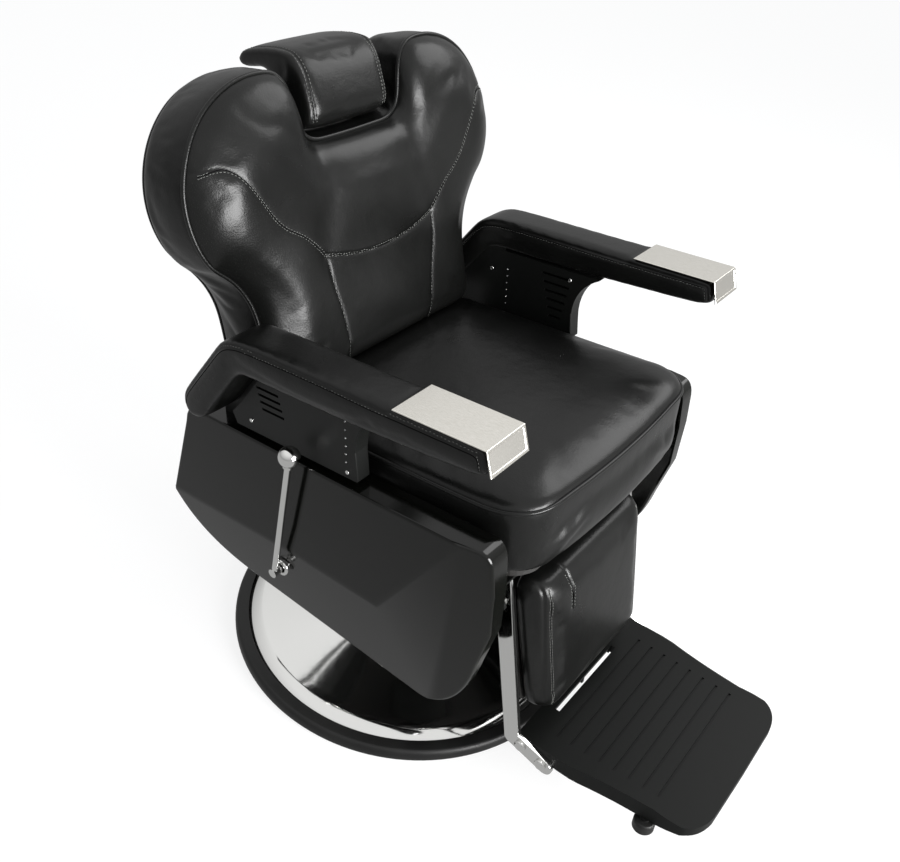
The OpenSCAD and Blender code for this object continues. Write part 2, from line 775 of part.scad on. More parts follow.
function back_half() = concat(
    [[0, back_bottom + 3], [100, back_bottom + 2]],
    arc([back_waist - 34, back_bottom + 32], 32, -90, -5, 5),
    [[back_waist - 1, 20]],
    curve([back_waist, 62], [back_waist + 6, lobe_c[1] - 0.84 * lobe_r],
          lobe_c + lobe_r * [0.758, -0.601], 7),
    arc(lobe_c, lobe_r, -34, 96, 22),
    curve([146, back_top - 2], [126, back_top - 7], [notch_half_w + 10, back_top - 32], 5),
    [[notch_half_w + 3, back_top - 60]],
    curve([notch_half_w, back_top - 84], [notch_half_w - 4, notch_bottom], [70, notch_bottom], 5),
    [[0, notch_bottom - 2]]);

function back_target(p) =
    p[1] > 150 && abs(p[0]) > notch_half_w - 2
        ? [sign(p[0]) * 165, 245]
        : p[1] > 250 ? [1.1 * p[0], 205] : [0.45 * p[0], clamp(p[1], 10, 200)];

module back_cushion() {
    outline = both_halves(back_half());
    targets = [for (p = outline) back_target(p)];
    // drawn lying on its rear, then stood up, so its level runs forwards
    color("#141414") on_back() rotate([90, 0, 0]) padded(outline, targets, [
        [0.16, -back_depth], [0.05, -back_depth + 8], [-0.01, -back_depth * 0.72],
        [-0.035, -back_depth * 0.45], [-0.02, -8], [0, 0],
        [0.05, back_crown * 0.36], [0.14, back_crown * 0.64], [0.3, back_crown * 0.86],
        [0.55, back_crown]]);
}

module back_shell() {
    outline = both_halves(back_half());
    color("#101011") on_back() translate([0, shell_rear, 0]) rotate([90, 0, 0])
        linear_extrude(shell_t) offset(delta = -34) polygon(outline);
}

module back_bracket_2d() {
    pivot = to_back(back_pivot);
    bar_2d(pivot, bracket_bend, 30);
    bar_2d(bracket_bend, bracket_head, 22);
    translate(pivot) circle(r = 22);
    bar_2d(pivot, to_back(back_crank_pin), 24);
}

module back_frame() {
    gas_shaft_end = gas_crank_x + 8;
    color("#2a2b2c") {
        for (side = [-1, 1]) sided(side) {
            on_back() across(bracket_x, bracket_x + bracket_t) back_bracket_2d();
            on_back() translate([bracket_x - 22, shell_rear + 0.2, -40]) difference() {
                cube([24, 4, 160]);
                for (z = [20, 80, 140]) translate([9, -1, z]) rotate([-90, 0, 0]) cylinder(h = 9, r = 3.5);
            }
            rod_x(bracket_x + 2, side < 0 ? gas_shaft_end - 2 : frame_x + frame_t + 4, back_pivot,
                  back_shaft_r);
            rod_x(link_x - 3, bracket_x + 2, back_crank_pin, link_pin_r);
        }
        on_back() rod_x(-bracket_x - 2, bracket_x + 2, bracket_bend, 9);
        sided(-1) {
            across(gas_crank_x, gas_crank_x + 8) bar_2d(back_pivot, gas_pin, 24);
            rod_x(gas_eye_x - 2, gas_crank_x + 2, gas_pin, gas_pin_r);
        }
    }
}

module headrest_guide() {
    wall = 4;
    play = 0.4;
    color("#2a2b2c") on_back() translate([0, shell_rear, guide_low]) difference() {
        union() {
            translate([-bar_w / 2 - wall - play, 0, 0])
                cube([bar_w + 2 * wall + 2 * play, bar_y - shell_rear + bar_t + wall + play, guide_h]);
            translate([-36, 0, 8]) cube([72, 3, guide_h - 16]);
        }
        translate([-bar_w / 2 - play, bar_y - shell_rear - play, -1])
            cube([bar_w + 2 * play, bar_t + 2 * play, guide_h + 2]);
        translate([0, 10, guide_h / 2]) rotate([-90, 0, 0]) cylinder(h = 30, r = 4.1);
        for (sx = [-1, 1]) translate([sx * 28, -1, guide_h / 2]) rotate([-90, 0, 0])
            cylinder(h = 9, r = 3);
    }
}

module headrest_knob() {
    stem_y = bar_y + bar_t + 0.4;
    color("#161617") on_back() translate([0, stem_y, guide_low + guide_h / 2]) rotate([-90, 0, 0]) {
        cylinder(h = 10, r = 4);
        translate([0, 0, 8]) difference() {
            cylinder(h = 14, r = 15);
            for (a = [0:60:300]) rotate(a) translate([18, 0, -1]) cylinder(h = 16, r = 5);
        }
    }
}

module headrest_bar() {
    bar_low = guide_low - 95;
    color("#c9cacc") on_back() difference() {
        translate([-bar_w / 2, bar_y, bar_low]) cube([bar_w, bar_t, headrest_low + 85 - bar_low]);
        for (z = [bar_low + 20:22:bar_low + 218])
            translate([0, bar_y - 1, z]) rotate([-90, 0, 0]) cylinder(h = 9, r = 3);
    }
}

// Side view of the headrest: a front pad that rolls over the top of the back
function headrest_outline() = concat(
    curve([14, headrest_low + 1.5], [20, headrest_low], [32, headrest_low], 4),
    curve([64, headrest_low + 2], [70, headrest_low + 4], [70, headrest_low + 14], 4),
    [[72, headrest_low + 70]],
    curve([74, headrest_low + 82], [80, headrest_low + 85], [92, headrest_low + 86], 4),
    curve([120, headrest_low + 86], [134, headrest_low + 88], [132, headrest_low + 100], 5),
    curve([120, headrest_low + 111], [84, headrest_low + 115], [54, headrest_low + 113], 5),
    curve([24, headrest_low + 109], [6, headrest_low + 94], [0, headrest_low + 66], 6),
    [[-5, headrest_low + 40]],
    curve([-7, headrest_low + 20], [-3, headrest_low + 6], [8, headrest_low + 4], 4));

module headrest_cushion() {
    outline = headrest_outline();
    targets = [for (p = outline) p[0] > 74
        ? [clamp(p[0], 60, 118), headrest_low + 100]
        : [34, clamp(p[1], headrest_low + 30, headrest_low + 92)]];
    w = 2 * headrest_half_w;
    left = -headrest_half_w;
    color("#141414") on_back() rotate([90, 0, 90]) padded(outline, targets, [
        [0.3, left], [0.1, left + 2], [0, left + 7], [-0.03, left + 30], [-0.05, 0],
        [-0.03, left + w - 30], [0, left + w - 7], [0.1, left + w - 2], [0.3, left + w]],
        bent = true);
}

// ---------------------------------------------------------------- leg rest

module leg_arm(side) {
    color("#e2e3e4") sided(side) {
        difference() {
            across(leg_arm_x, leg_arm_x + leg_arm_t) bent_bar_2d(leg_pivot, arm_bend, arm_toe, leg_arm_w);
            for (p = foot_bolt_at) rod_x(leg_arm_x - 1, leg_arm_x + leg_arm_t + 1, p, 5.1);
        }
        rod_x(leg_arm_x + 2, frame_x + frame_t + 4, leg_pivot, leg_pin_r);
        rod_x(leg_arm_x + 2, link_x + link_t + 3, leg_crank_pin, link_pin_r);
    }
}

module leg_crossbar() {
    at_z = [-90, -245];
    color("#2a2b2c") on_leg() for (z = at_z) difference() {
        union() {
            translate([-leg_arm_x, calf_back + 13, z]) cube([2 * leg_arm_x, 4, 26]);
            // ends turned forwards and welded to the leg arms
            for (side = [-1, 1]) sided(side) translate([leg_arm_x - 4, -8, z]) cube([4, calf_back + 24, 26]);
        }
        for (sx = [-1, 1]) translate([sx * 90, calf_back, z + 13]) rotate([-90, 0, 0])
            cylinder(h = 30, r = 3.5);
    }
}

module calf_board() {
    color("#b58b5a") on_leg() translate([0, calf_back + 12.8, calf_top - calf_len / 2])
        rotate([90, 0, 0]) linear_extrude(12) offset(r = 12)
            square([calf_w - 44, calf_len - 44], center = true);
}

function calf_half() = concat(
    [[0, calf_top - calf_len - 1.5]],
    arc([calf_w / 2 - 34, calf_top - calf_len + 24], 24, -90, -5, 5),
    [[calf_w / 2 - 3, calf_top - calf_len / 2]],
    arc([calf_w / 2 - 22, calf_top - 22], 22, 0, 90, 5),
    [[0, calf_top + 1.5]]);

module calf_pad() {
    outline = both_halves(calf_half());
    targets = [for (p = outline) [0.5 * p[0], clamp(p[1], calf_top - calf_len + 70, calf_top - 70)]];
    front = -calf_front;
    color("#141414") on_leg() rotate([90, 0, 0]) padded(outline, targets, [
        [0.05, -calf_back], [0, 4 - calf_back], [-0.01, front * 0.3], [0.01, front * 0.62],
        [0.09, front - 4], [0.17, front], [0.3, front + 4], [0.6, front + 7]]);
}

function plate_half() = concat(
    [[0, 24], [leg_arm_x - 22, 24]],
    curve([leg_arm_x - 12, 24], [leg_arm_x - 0.2, 24], [leg_arm_x - 0.2, 12], 3),
    [[leg_arm_x - 0.2, -54]],
    curve([leg_arm_x - 2, -76], [plate_half_w + 4, -130], [plate_half_w, -190], 7),
    curve([plate_half_w - 1.5, -208], [plate_half_w, -222], [plate_half_w, -236], 3),
    curve([plate_half_w - 1, -254], [plate_half_w - 12, -279], [plate_half_w - 48, -284], 8),
    [[0, -285]]);

// Side view of the plate's rim: shallow at the rear and the front, deep between
module plate_rim_2d() {
    polygon([[30, 0], [30, -14], [-40, -24], [-90, bumper_from], [-212, bumper_from],
             [-262, -17], [-300, -15], [-300, 0]]);
}

module foot_plate() {
    groove_w = 4;
    groove_gap = 25;
    lug_t = 12;
    color("#161617") difference() {
        union() {
            on_plate() difference() {
                intersection() {
                    translate([0, 0, bumper_from]) linear_extrude(-bumper_from)
                        polygon(both_halves(plate_half()));
                    across(-leg_arm_x, leg_arm_x) plate_rim_2d();
                }
                difference() {
                    translate([0, 0, bumper_from - 1]) linear_extrude(-bumper_from - plate_t + 1)
                        offset(delta = -plate_wall) polygon(both_halves(plate_half()));
                    // stiffening ribs and the bumpers' bosses under the plate
                    for (x = [-90, 0, 90]) translate([x - 3, -270, -plate_t - 10]) cube([6, 290, 11]);
                    for (side = [-1, 1]) sided(side) translate([bumper_at[0], bumper_at[1], bumper_from])
                        cylinder(h = -bumper_from, r = 10);
                }
                translate([-91, -4, -40]) cube([182, 8, 80]);
                for (i = [0:7]) translate([-136 + i, -26 - groove_gap * i, -2])
                    rotate([90, 0, 0]) linear_extrude(groove_w) square([272 - 2 * i, 10]);
            }
            for (side = [-1, 1]) sided(side) across(leg_arm_x - lug_t, leg_arm_x) polygon([
                [-348, 125], [-344, 106], [-394, 94], [-412, 98], [-412, 129]]);
        }
        for (side = [-1, 1]) sided(side) foot_bolt_holes();
    }
}

// Bores for the lug bolts, with room for their nuts
module foot_bolt_holes() {
    for (p = foot_bolt_at) {
        rod_x(leg_arm_x - 30, leg_arm_x + 10, p, bolt_r + 0.1);
        rod_x(leg_arm_x - 24, leg_arm_x - 12, p, 9.3);
    }
}

// One of the four bolts that hold the foot plate's lugs to the leg arms
module foot_bolt(side, i) {
    at = foot_bolt_at[i];
    color("#d0d1d3") sided(side) {
        rod_x(leg_arm_x - 21, leg_arm_x + leg_arm_t, at, bolt_r);
        translate([leg_arm_x + leg_arm_t, at[0], at[1]]) rotate([0, 90, 0]) rotate_extrude()
            polygon(concat([[0, 0], [10, 0]], curve([10, 2.5], [8, 6], [0, 6.5], 5)));
        translate([leg_arm_x - 19, at[0], at[1]]) rotate([0, 90, 0]) cylinder(h = 7, r = 8.5, $fn = 6);
    }
}

module foot_bumper(side) {
    puck_r = 17;
    color("#121213") sided(side) on_plate() translate([bumper_at[0], bumper_at[1], bumper_from])
        rotate([180, 0, 0]) rotate_extrude() polygon(concat(
            [[0, 0], [8, 0], [8, 3]],
            curve([14, 4], [puck_r, 5], [puck_r, 10], 5),
            curve([puck_r, 22], [14, 28], [0, 28], 8)));
}

base_ring();
base_dish();
base_ballast();
pump_cylinder();
pump_gland();
base_bolt(0);  // base_bolt_1
base_bolt(1);  // base_bolt_2
base_bolt(2);  // base_bolt_3
base_bolt(3);  // base_bolt_4
pedal_bracket();
pedal_arm();
pedal_pad();
pump_piston();
pump_ram();
seat_hub();
seat_frame();
seat_board();
seat_cushion();
casing(-1);  // casing_right
casing(1);  // casing_left
lever_escutcheon();
recline_lever();
lever_knob();  // lever_ball
gas_spring_body();
gas_spring_rod();
link_bar(-1);  // link_bar_right
link_bar(1);  // link_bar_left
arm_support(-1);  // arm_support_right
arm_support(1);  // arm_support_left
arm_panel(-1);  // arm_panel_right
arm_panel(1);  // arm_panel_left
arm_pad(-1);  // arm_pad_right
arm_pad(1);  // arm_pad_left
arm_cap(-1);  // arm_cap_right
arm_cap(1);  // arm_cap_left
back_frame();
back_shell();
back_cushion();
headrest_guide();
headrest_knob();
headrest_bar();
headrest_cushion();
leg_arm(-1);  // leg_arm_right
leg_arm(1);  // leg_arm_left
leg_crossbar();
calf_board();
calf_pad();
foot_plate();
foot_bolt(-1, 0);  // foot_bolt_right_1
foot_bolt(-1, 1);  // foot_bolt_right_2
foot_bolt(1, 0);  // foot_bolt_left_1
foot_bolt(1, 1);  // foot_bolt_left_2
foot_bumper(-1);  // foot_bumper_right
foot_bumper(1);  // foot_bumper_left
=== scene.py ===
"""Dresses the barber chair's frame: upholstery, moulded casings, metalwork, light and camera."""
from math import cos, radians, sin

import bmesh
import bpy
import numpy as np
from bpy.props import FloatProperty, FloatVectorProperty, PointerProperty
from mathutils import Matrix, Vector
from mathutils.bvhtree import BVHTree


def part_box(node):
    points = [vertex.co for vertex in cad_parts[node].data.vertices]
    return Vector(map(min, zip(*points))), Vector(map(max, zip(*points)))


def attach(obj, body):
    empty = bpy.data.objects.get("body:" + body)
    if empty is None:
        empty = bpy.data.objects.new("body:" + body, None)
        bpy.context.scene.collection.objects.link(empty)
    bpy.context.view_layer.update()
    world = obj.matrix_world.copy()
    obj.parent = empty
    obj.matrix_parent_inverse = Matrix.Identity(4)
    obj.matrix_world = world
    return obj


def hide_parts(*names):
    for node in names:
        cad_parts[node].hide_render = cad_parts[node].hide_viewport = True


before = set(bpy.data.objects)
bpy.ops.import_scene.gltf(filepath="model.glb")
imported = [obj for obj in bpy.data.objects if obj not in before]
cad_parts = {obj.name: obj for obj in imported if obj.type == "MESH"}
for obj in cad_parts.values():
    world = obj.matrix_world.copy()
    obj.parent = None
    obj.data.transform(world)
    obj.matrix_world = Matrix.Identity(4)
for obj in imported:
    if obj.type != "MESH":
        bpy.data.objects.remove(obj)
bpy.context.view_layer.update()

bl_info = {
    "name": "Barber Chair Dressing",
    "version": (1, 0, 0),
    "blender": (4, 5, 0),
    "location": "3D View > Sidebar > Barber Chair",
    "description": "Upholsters and finishes a hydraulic barber chair on its CAD frame",
    "category": "Object",
}

MM = 0.001

# The frames that the seat, the back and the leg rest are built in, as the CAD lays them out
SEAT_TILT = radians(7)
BACK_TILT = radians(15)
LEG_TILT = radians(14)
SEAT = Matrix.Rotation(-SEAT_TILT, 4, "X")
BACK = Matrix.Translation((0, 155 * MM, 600 * MM)) @ Matrix.Rotation(-BACK_TILT, 4, "X")
LEG = Matrix.Translation((0, -258 * MM, 440 * MM)) @ Matrix.Rotation(-LEG_TILT, 4, "X")

X, Y, Z = Vector((1, 0, 0)), Vector((0, 1, 0)), Vector((0, 0, 1))
SIDES = {"right": -1, "left": 1}

# Camera, fitted to the chair
CAMERA_PLACE = (-1.1011, -0.7132, 1.4310)
CAMERA_AZIMUTH = radians(-57.96)
CAMERA_ELEVATION = radians(36.89)
CAMERA_ROLL = radians(9.24)
CAMERA_LENS = 39.95
SENSOR_WIDTH = 36

# Studio: how white the camera sees the floor, the room's light, and how bright the floor, the
# horizon and the ceiling are in mirrors
FLOOR_WHITENESS = 0.75
ROOM_LIGHT = 0.75
MIRRORED_FLOOR = 0.5
HORIZON = 0.38
CEILING = 1.0

# Soft lights, each as (place, aim, size) in metres
FRONT_SOFTBOX = ((-0.1, -3.0, 1.0), (0, 0, 0.8), (2.0, 1.6))
SIDE_SOFTBOX = ((1.8, -0.7, 2.45), (0, 0.2, 0.9), (1.6, 1.6))
FLOOR_SIZE = 14

# Angles in degrees up to which neighbouring faces are shaded as one surface
SOFT_SHADING = 60
HARD_SHADING = 30

# Points of a CAD mesh that are nearer than this are one point
MERGE_DISTANCE = 0.02 * MM

# Length of the steps in which a line through given points is drawn
LINE_STEP = 3 * MM


# ---------------------------------------------------------------- settings

class UpholsterySettings(bpy.types.PropertyGroup):
    vinyl: FloatVectorProperty(
        name="Vinyl", description="Colour of the vinyl cover", subtype="COLOR", size=3,
        default=(0.0030, 0.0031, 0.0029), min=0, max=1)
    roughness: FloatProperty(
        name="Roughness", description="Roughness of the vinyl's top coat", default=0.28, min=0, max=1)
    piping: FloatProperty(
        name="Piping", description="Radius of the piping", default=3.2 * MM, min=0.001, max=0.006,
        subtype="DISTANCE")
    seam_depth: FloatProperty(
        name="Seam depth", description="How far a seam draws the cover in", default=1.6 * MM,
        min=0, max=0.008, subtype="DISTANCE")
    stitch: FloatProperty(
        name="Stitch", description="Pitch of the stitches", default=5.5 * MM, min=0.002, max=0.01,
        subtype="DISTANCE")
    pressure: FloatProperty(
        name="Pressure", description="Pressure that fills the covers", default=4.0, min=0, max=20)


class ShellSettings(bpy.types.PropertyGroup):
    plastic: FloatVectorProperty(
        name="Plastic", description="Colour of the moulded casings", subtype="COLOR", size=3,
        default=(0.0022, 0.0024, 0.0019), min=0, max=1)
    edge: FloatProperty(
        name="Edge", description="Radius of the casings' edges", default=5 * MM, min=0, max=0.01,
        subtype="DISTANCE")


class StageSettings(bpy.types.PropertyGroup):
    floor: FloatVectorProperty(
        name="Floor", description="Colour of the floor", subtype="COLOR", size=3,
        default=(0.86, 0.86, 0.86), min=0, max=1)
    front_light: FloatProperty(
        name="Front light", description="Power of the soft light in front of the chair", default=220,
        min=0, subtype="POWER")
    side_light: FloatProperty(
        name="Side light", description="Power of the soft light high up at the sitter's left",
        default=28, min=0, subtype="POWER")


# ---------------------------------------------------------------- small tools

def linear(code):
    """A linear colour from an sRGB hex code."""
    parts = [int(code[i:i + 2], 16) / 255 for i in (1, 3, 5)]
    return [c / 12.92 if c <= 0.04045 else ((c + 0.055) / 1.055) ** 2.4 for c in parts] + [1]


def deselect():
    for obj in bpy.context.selected_objects:
        obj.select_set(False)


def make_active(obj):
    deselect()
    obj.select_set(True)
    bpy.context.view_layer.objects.active = obj


def apply_modifier(obj, kind, **settings):
    """Adds a modifier to a piece and applies it."""
    make_active(obj)
    modifier = obj.modifiers.new(kind, kind)
    for name, value in settings.items():
        setattr(modifier, name, value)
    bpy.ops.object.modifier_apply(modifier=modifier.name)


def copy_of(node, name):
    """A new object with a merged copy of a CAD node's mesh."""
    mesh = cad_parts[node].data.copy()
    obj = bpy.data.objects.new(name, mesh)
    bpy.context.scene.collection.objects.link(obj)
    bm = bmesh.new()
    bm.from_mesh(mesh)
    bmesh.ops.remove_doubles(bm, verts=bm.verts, dist=MERGE_DISTANCE)
    bm.to_mesh(mesh)
    bm.free()
    mesh.materials.clear()
    for attribute in [a.name for a in mesh.attributes if a.name in ("custom_normal", "UVMap")]:
        mesh.attributes.remove(mesh.attributes[attribute])
    return obj


def finish(obj, body, material, smooth, stands_for=(), flat=False):
    """Gives a finished piece its material, its shading and its place in the frame.

    smooth is the angle up to which faces are shaded as one. flat keeps big faces evenly lit right up
    to their rounded edges.
    """
    obj.data.materials.clear()
    obj.data.materials.append(material)
    make_active(obj)
    bpy.ops.object.shade_smooth_by_angle(angle=radians(smooth))
    if flat:
        apply_modifier(obj, "WEIGHTED_NORMAL", keep_sharp=True, weight=100)
    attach(obj, body)
    if stands_for:
        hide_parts(*stands_for)


def cover(obj, body, *stands_for):
    """Finishes a piece in vinyl."""
    finish(obj, body, material_of("vinyl"), SOFT_SHADING, stands_for)


def coords(obj):
    found = np.empty(len(obj.data.vertices) * 3)
    obj.data.vertices.foreach_get("co", found)
    return found.reshape(-1, 3)


def normals(obj):
    obj.data.update()
    found = np.empty(len(obj.data.vertices) * 3)
    obj.data.vertex_normals.foreach_get("vector", found)
    return found.reshape(-1, 3)


def move_to(obj, points):
    obj.data.vertices.foreach_set("co", np.asarray(points, float).ravel())
    obj.data.update()


def local(points, place):
    """Points of the row frame, seen in a part's own frame."""
    turn = np.array(place.inverted())
    return points @ turn[:3, :3].T + turn[:3, 3]


def rising(values, start, span):
    """0 up to start, then rising to 1 over span."""
    return np.clip((values - start) / span, 0, 1)


def turned(vectors, place):
    """Directions of the row frame, seen in a part's own frame."""
    return vectors @ np.array(place.to_3x3().inverted()).T


def tree_of(obj):
    """A tree that finds the nearest spot on a piece's surface."""
    bm = bmesh.new()
    bm.from_mesh(obj.data)
    tree = BVHTree.FromBMesh(bm)
    bm.free()
    return tree


# ---------------------------------------------------------------- lines on a surface

def through(points):
    """A smooth line through given points, in even steps."""
    p = [Vector(q) for q in points]
    p = [2 * p[0] - p[1]] + p + [2 * p[-1] - p[-2]]
    line = []
    for a, b, c, d in zip(p, p[1:], p[2:], p[3:]):
        count = max(2, round((c - b).length / LINE_STEP))
        for i in range(count):
            t = i / count
            line.append(0.5 * (2 * b + (c - a) * t + (2 * a - 5 * b + 4 * c - d) * t ** 2
                               + (3 * b - a - 3 * c + d) * t ** 3))
    return line + [p[-2]]


def even(loop, step, closed=True):
    """The same line, in even steps."""
    p = np.array(loop)
    if closed:
        p = np.vstack([p, p[:1]])
    along = np.concatenate([[0], np.cumsum(np.linalg.norm(np.diff(p, axis=0), axis=1))])
    count = max(3, round(along[-1] / step))
    marks = np.linspace(0, along[-1], count + 1)
    if closed:
        marks = marks[:-1]
    return np.stack([np.interp(marks, along, p[:, k]) for k in range(p.shape[1])], 1)


def softened(loop, rounds, closed=True):
    """The same line, with each point drawn towards its neighbours."""
    p = np.array(loop)
    for _ in range(rounds):
        q = (np.roll(p, 1, 0) + 2 * p + np.roll(p, -1, 0)) / 4
        if not closed:
            q[0], q[-1] = p[0], p[-1]
        p = q
    return p


def outward_of(ring):
    """The outward direction at each point of a closed flat outline."""
    way = np.roll(ring, -1, 0) - np.roll(ring, 1, 0)
    way /= np.linalg.norm(way, axis=1)[:, None]
    out = np.stack([way[:, 1], -way[:, 0]], 1)
    return out if np.mean(np.sum(out * (ring - ring.mean(0)), 1)) > 0 else -out


def longest_run(flags):
    """Indices of the longest unbroken run in a ring of flags."""
    count = len(flags)
    start = next(i for i in range(count) if not flags[i])
    best, run = [], []
    for k in range(start, start + count + 1):
        i = k % count
        if flags[i]:
            run.append(i)
        else:
            best = max(best, run, key=len)
            run = []
    return best


def section(node, place, axis, level):
    """The ordered loop where a plane of a part's own frame cuts a CAD node."""
    bm = bmesh.new()
    bm.from_mesh(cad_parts[node].data)
    bmesh.ops.remove_doubles(bm, verts=bm.verts, dist=MERGE_DISTANCE)
    point = place @ (axis * level)
    normal = place.to_3x3() @ axis
    cut = bmesh.ops.bisect_plane(bm, geom=bm.verts[:] + bm.edges[:] + bm.faces[:], dist=1e-7,
                                 plane_co=point, plane_no=normal)["geom_cut"]
    edges = {e for e in cut if isinstance(e, bmesh.types.BMEdge)}
    loops = []
    while edges:
        # the first edge is picked by its place, so that every run starts the loop at the same point
        edge = min(edges, key=lambda e: (*e.verts[0].co, *e.verts[1].co))
        edges.discard(edge)
        loop = [edge.verts[0], edge.verts[1]]
        while True:
            onward = [e for e in loop[-1].link_edges if e in edges]
            if not onward:
                break
            edges.discard(onward[0])
            loop.append(onward[0].other_vert(loop[-1]))
        if loop[0] == loop[-1]:
            loop.pop()
        loops.append([v.co.copy() for v in loop])
    bm.free()
    longest = max(loops, key=lambda l: sum((a - b).length for a, b in zip(l, l[1:])))
    return np.array([tuple(v) for v in longest])


def distance(points, line):
    """Each point's distance from a line, in whatever number of dimensions they have."""
    a, b = np.array(line)[:-1], np.array(line)[1:]
    best = np.full(len(points), 9.0)
    for start, end in zip(a, b):
        d = end - start
        share = np.clip(((points - start) @ d) / max(d @ d, 1e-12), 0, 1)
        best = np.minimum(best, np.linalg.norm(points - start - share[:, None] * d, axis=1))
    return best


def tube(name, line, radius, closed=True):
    """A round cord along a line."""
    curve = bpy.data.curves.new(name, "CURVE")
    curve.dimensions = "3D"
    spline = curve.splines.new("POLY")
    spline.points.add(len(line) - 1)
    for point, place in zip(spline.points, line):
        point.co = (*place, 1)
    spline.use_cyclic_u = closed
    curve.bevel_depth = radius
    curve.bevel_resolution = 3
    curve.use_fill_caps = True
    obj = bpy.data.objects.new(name, curve)
    bpy.context.scene.collection.objects.link(obj)
    make_active(obj)
    bpy.ops.object.convert(target="MESH")
    return bpy.context.object


# How far piping and stitches stand off the cover: shares of the piping's radius and the thread's width
PIPING_STAND = 0.35
STITCH_STAND = 0.12


def hugging(loop, piece, radius):
    """A loop laid against a piece's surface, so that piping along it stays sewn on."""
    tree = tree_of(piece)
    laid = []
    for point in loop:
        spot, normal, _, _ = tree.find_nearest(Vector(point))
        laid.append(spot + normal * radius * PIPING_STAND)
    return softened(laid, 6)


def pipe(name, piece, node, place, axis, level, rounds, body):
    """Piping round a cover, along the loop where a plane of a part's own frame cuts its CAD node."""
    radius = bpy.context.scene.barber_upholstery.piping
    loop = softened(even(section(node, place, axis, level), 6 * MM), rounds)
    cover(tube(name, hugging(loop, piece, radius), radius), body)


def one_stitch():
    """A single stitch: a ball, to be drawn out along its seam."""
    deselect()
    bpy.ops.mesh.primitive_uv_sphere_add(segments=6, ring_count=4, radius=1)
    ball = bpy.context.object
    points = coords(ball)
    faces = [tuple(polygon.vertices) for polygon in ball.data.polygons]
    bpy.data.objects.remove(ball)
    return points, faces


def sew(name, piece, rows, place, body, length=3.6 * MM, width=0.9 * MM):
    """Stitches of thread along rows of points, each pressed onto a piece's surface."""
    tree = tree_of(piece)
    pitch = bpy.context.scene.barber_upholstery.stitch
    ball, ball_faces = one_stitch()
    points, faces = [], []
    for row in rows:
        line = even(row, pitch, closed=False)
        for a, b in zip(line, line[1:]):
            spot, normal, _, _ = tree.find_nearest(place @ Vector((a + b) / 2))
            along = (place.to_3x3() @ Vector(b - a)).normalized()
            side = normal.cross(along).normalized()
            along = side.cross(normal)
            turn = np.array([along * length / 2, side * width / 2, normal * width / 2])
            faces += [[i + len(points) * len(ball) for i in face] for face in ball_faces]
            points.append(ball @ turn + np.array(spot + normal * width * STITCH_STAND))
    mesh = bpy.data.meshes.new(name)
    mesh.from_pydata(np.vstack(points), [], faces)
    obj = bpy.data.objects.new(name, mesh)
    bpy.context.scene.collection.objects.link(obj)
    finish(obj, body, material_of("thread"), SOFT_SHADING)


def seam_cord_shade(name, piece, lines, place, body):
    """The folded edge that shows in a seam: a thin cord pressed onto a piece's surface, in matte black as
    painted shade in the seam.
    """
    step, stand, radius = 3 * MM, 0.1 * MM, 0.6 * MM
    tree = tree_of(piece)
    parts = []
    for line in lines:
        pressed = []
        for point in even(line, step, closed=False):
            spot, normal, _, _ = tree.find_nearest(place @ Vector(point))
            pressed.append(spot + normal * stand)
        parts.append(tube(name, softened(pressed, 8, closed=False), radius, closed=False))
    deselect()
    for part in parts:
        part.select_set(True)
    bpy.context.view_layer.objects.active = parts[0]
    bpy.ops.object.join()
    # matte black cord: painted shade in the seam
    finish(parts[0], body, material_of("seam_shade"), SOFT_SHADING)


# ---------------------------------------------------------------- materials

def add(tree, kind, settings=None, **links):
    """Adds a node, sets its values and links its inputs."""
    node = tree.nodes.new(kind)
    for name, value in (settings or {}).items():
        if name in node.inputs:
            node.inputs[name].default_value = value
        else:
            setattr(node, name, value)
    for name, source in links.items():
        tree.links.new(source, node.inputs[name.replace("_", " ")])
    return node


def new_material(name, **values):
    """A new material, its nodes, its shader with these values, and the place on the object."""
    material = bpy.data.materials.new(name)
    material.use_nodes = True
    tree = material.node_tree
    shader = tree.nodes["Principled BSDF"]
    for socket, value in values.items():
        shader.inputs[socket.replace("_", " ")].default_value = value
    place = add(tree, "ShaderNodeTexCoord").outputs["Object"]
    return material, tree, shader, place


def tinted(tree, shader, factor, dark, light):
    """The surface's colour, between two shades over the middle of the pattern's range."""
    ramp = add(tree, "ShaderNodeValToRGB", Fac=factor)
    for element, position, colour in zip(ramp.color_ramp.elements, (0.3, 0.7), (dark, light)):
        element.position = position
        element.color = colour
    tree.links.new(ramp.outputs["Color"], shader.inputs["Base Color"])


def ranged(tree, shader, socket, factor, low, high):
    """One of the shader's values, between two limits that follow a pattern."""
    spread = add(tree, "ShaderNodeMapRange", {"To Min": low, "To Max": high}, Value=factor)
    tree.links.new(spread.outputs["Result"], shader.inputs[socket])


def bumped(tree, shader, *layers):
    """Bumps on top of each other, each (height, depth in metres, strength)."""
    below = None
    for height, depth, strength in layers:
        bump = add(tree, "ShaderNodeBump", {"Distance": depth, "Strength": strength}, Height=height)
        if below is not None:
            tree.links.new(below.outputs["Normal"], bump.inputs["Normal"])
        below = bump
    tree.links.new(below.outputs["Normal"], shader.inputs["Normal"])


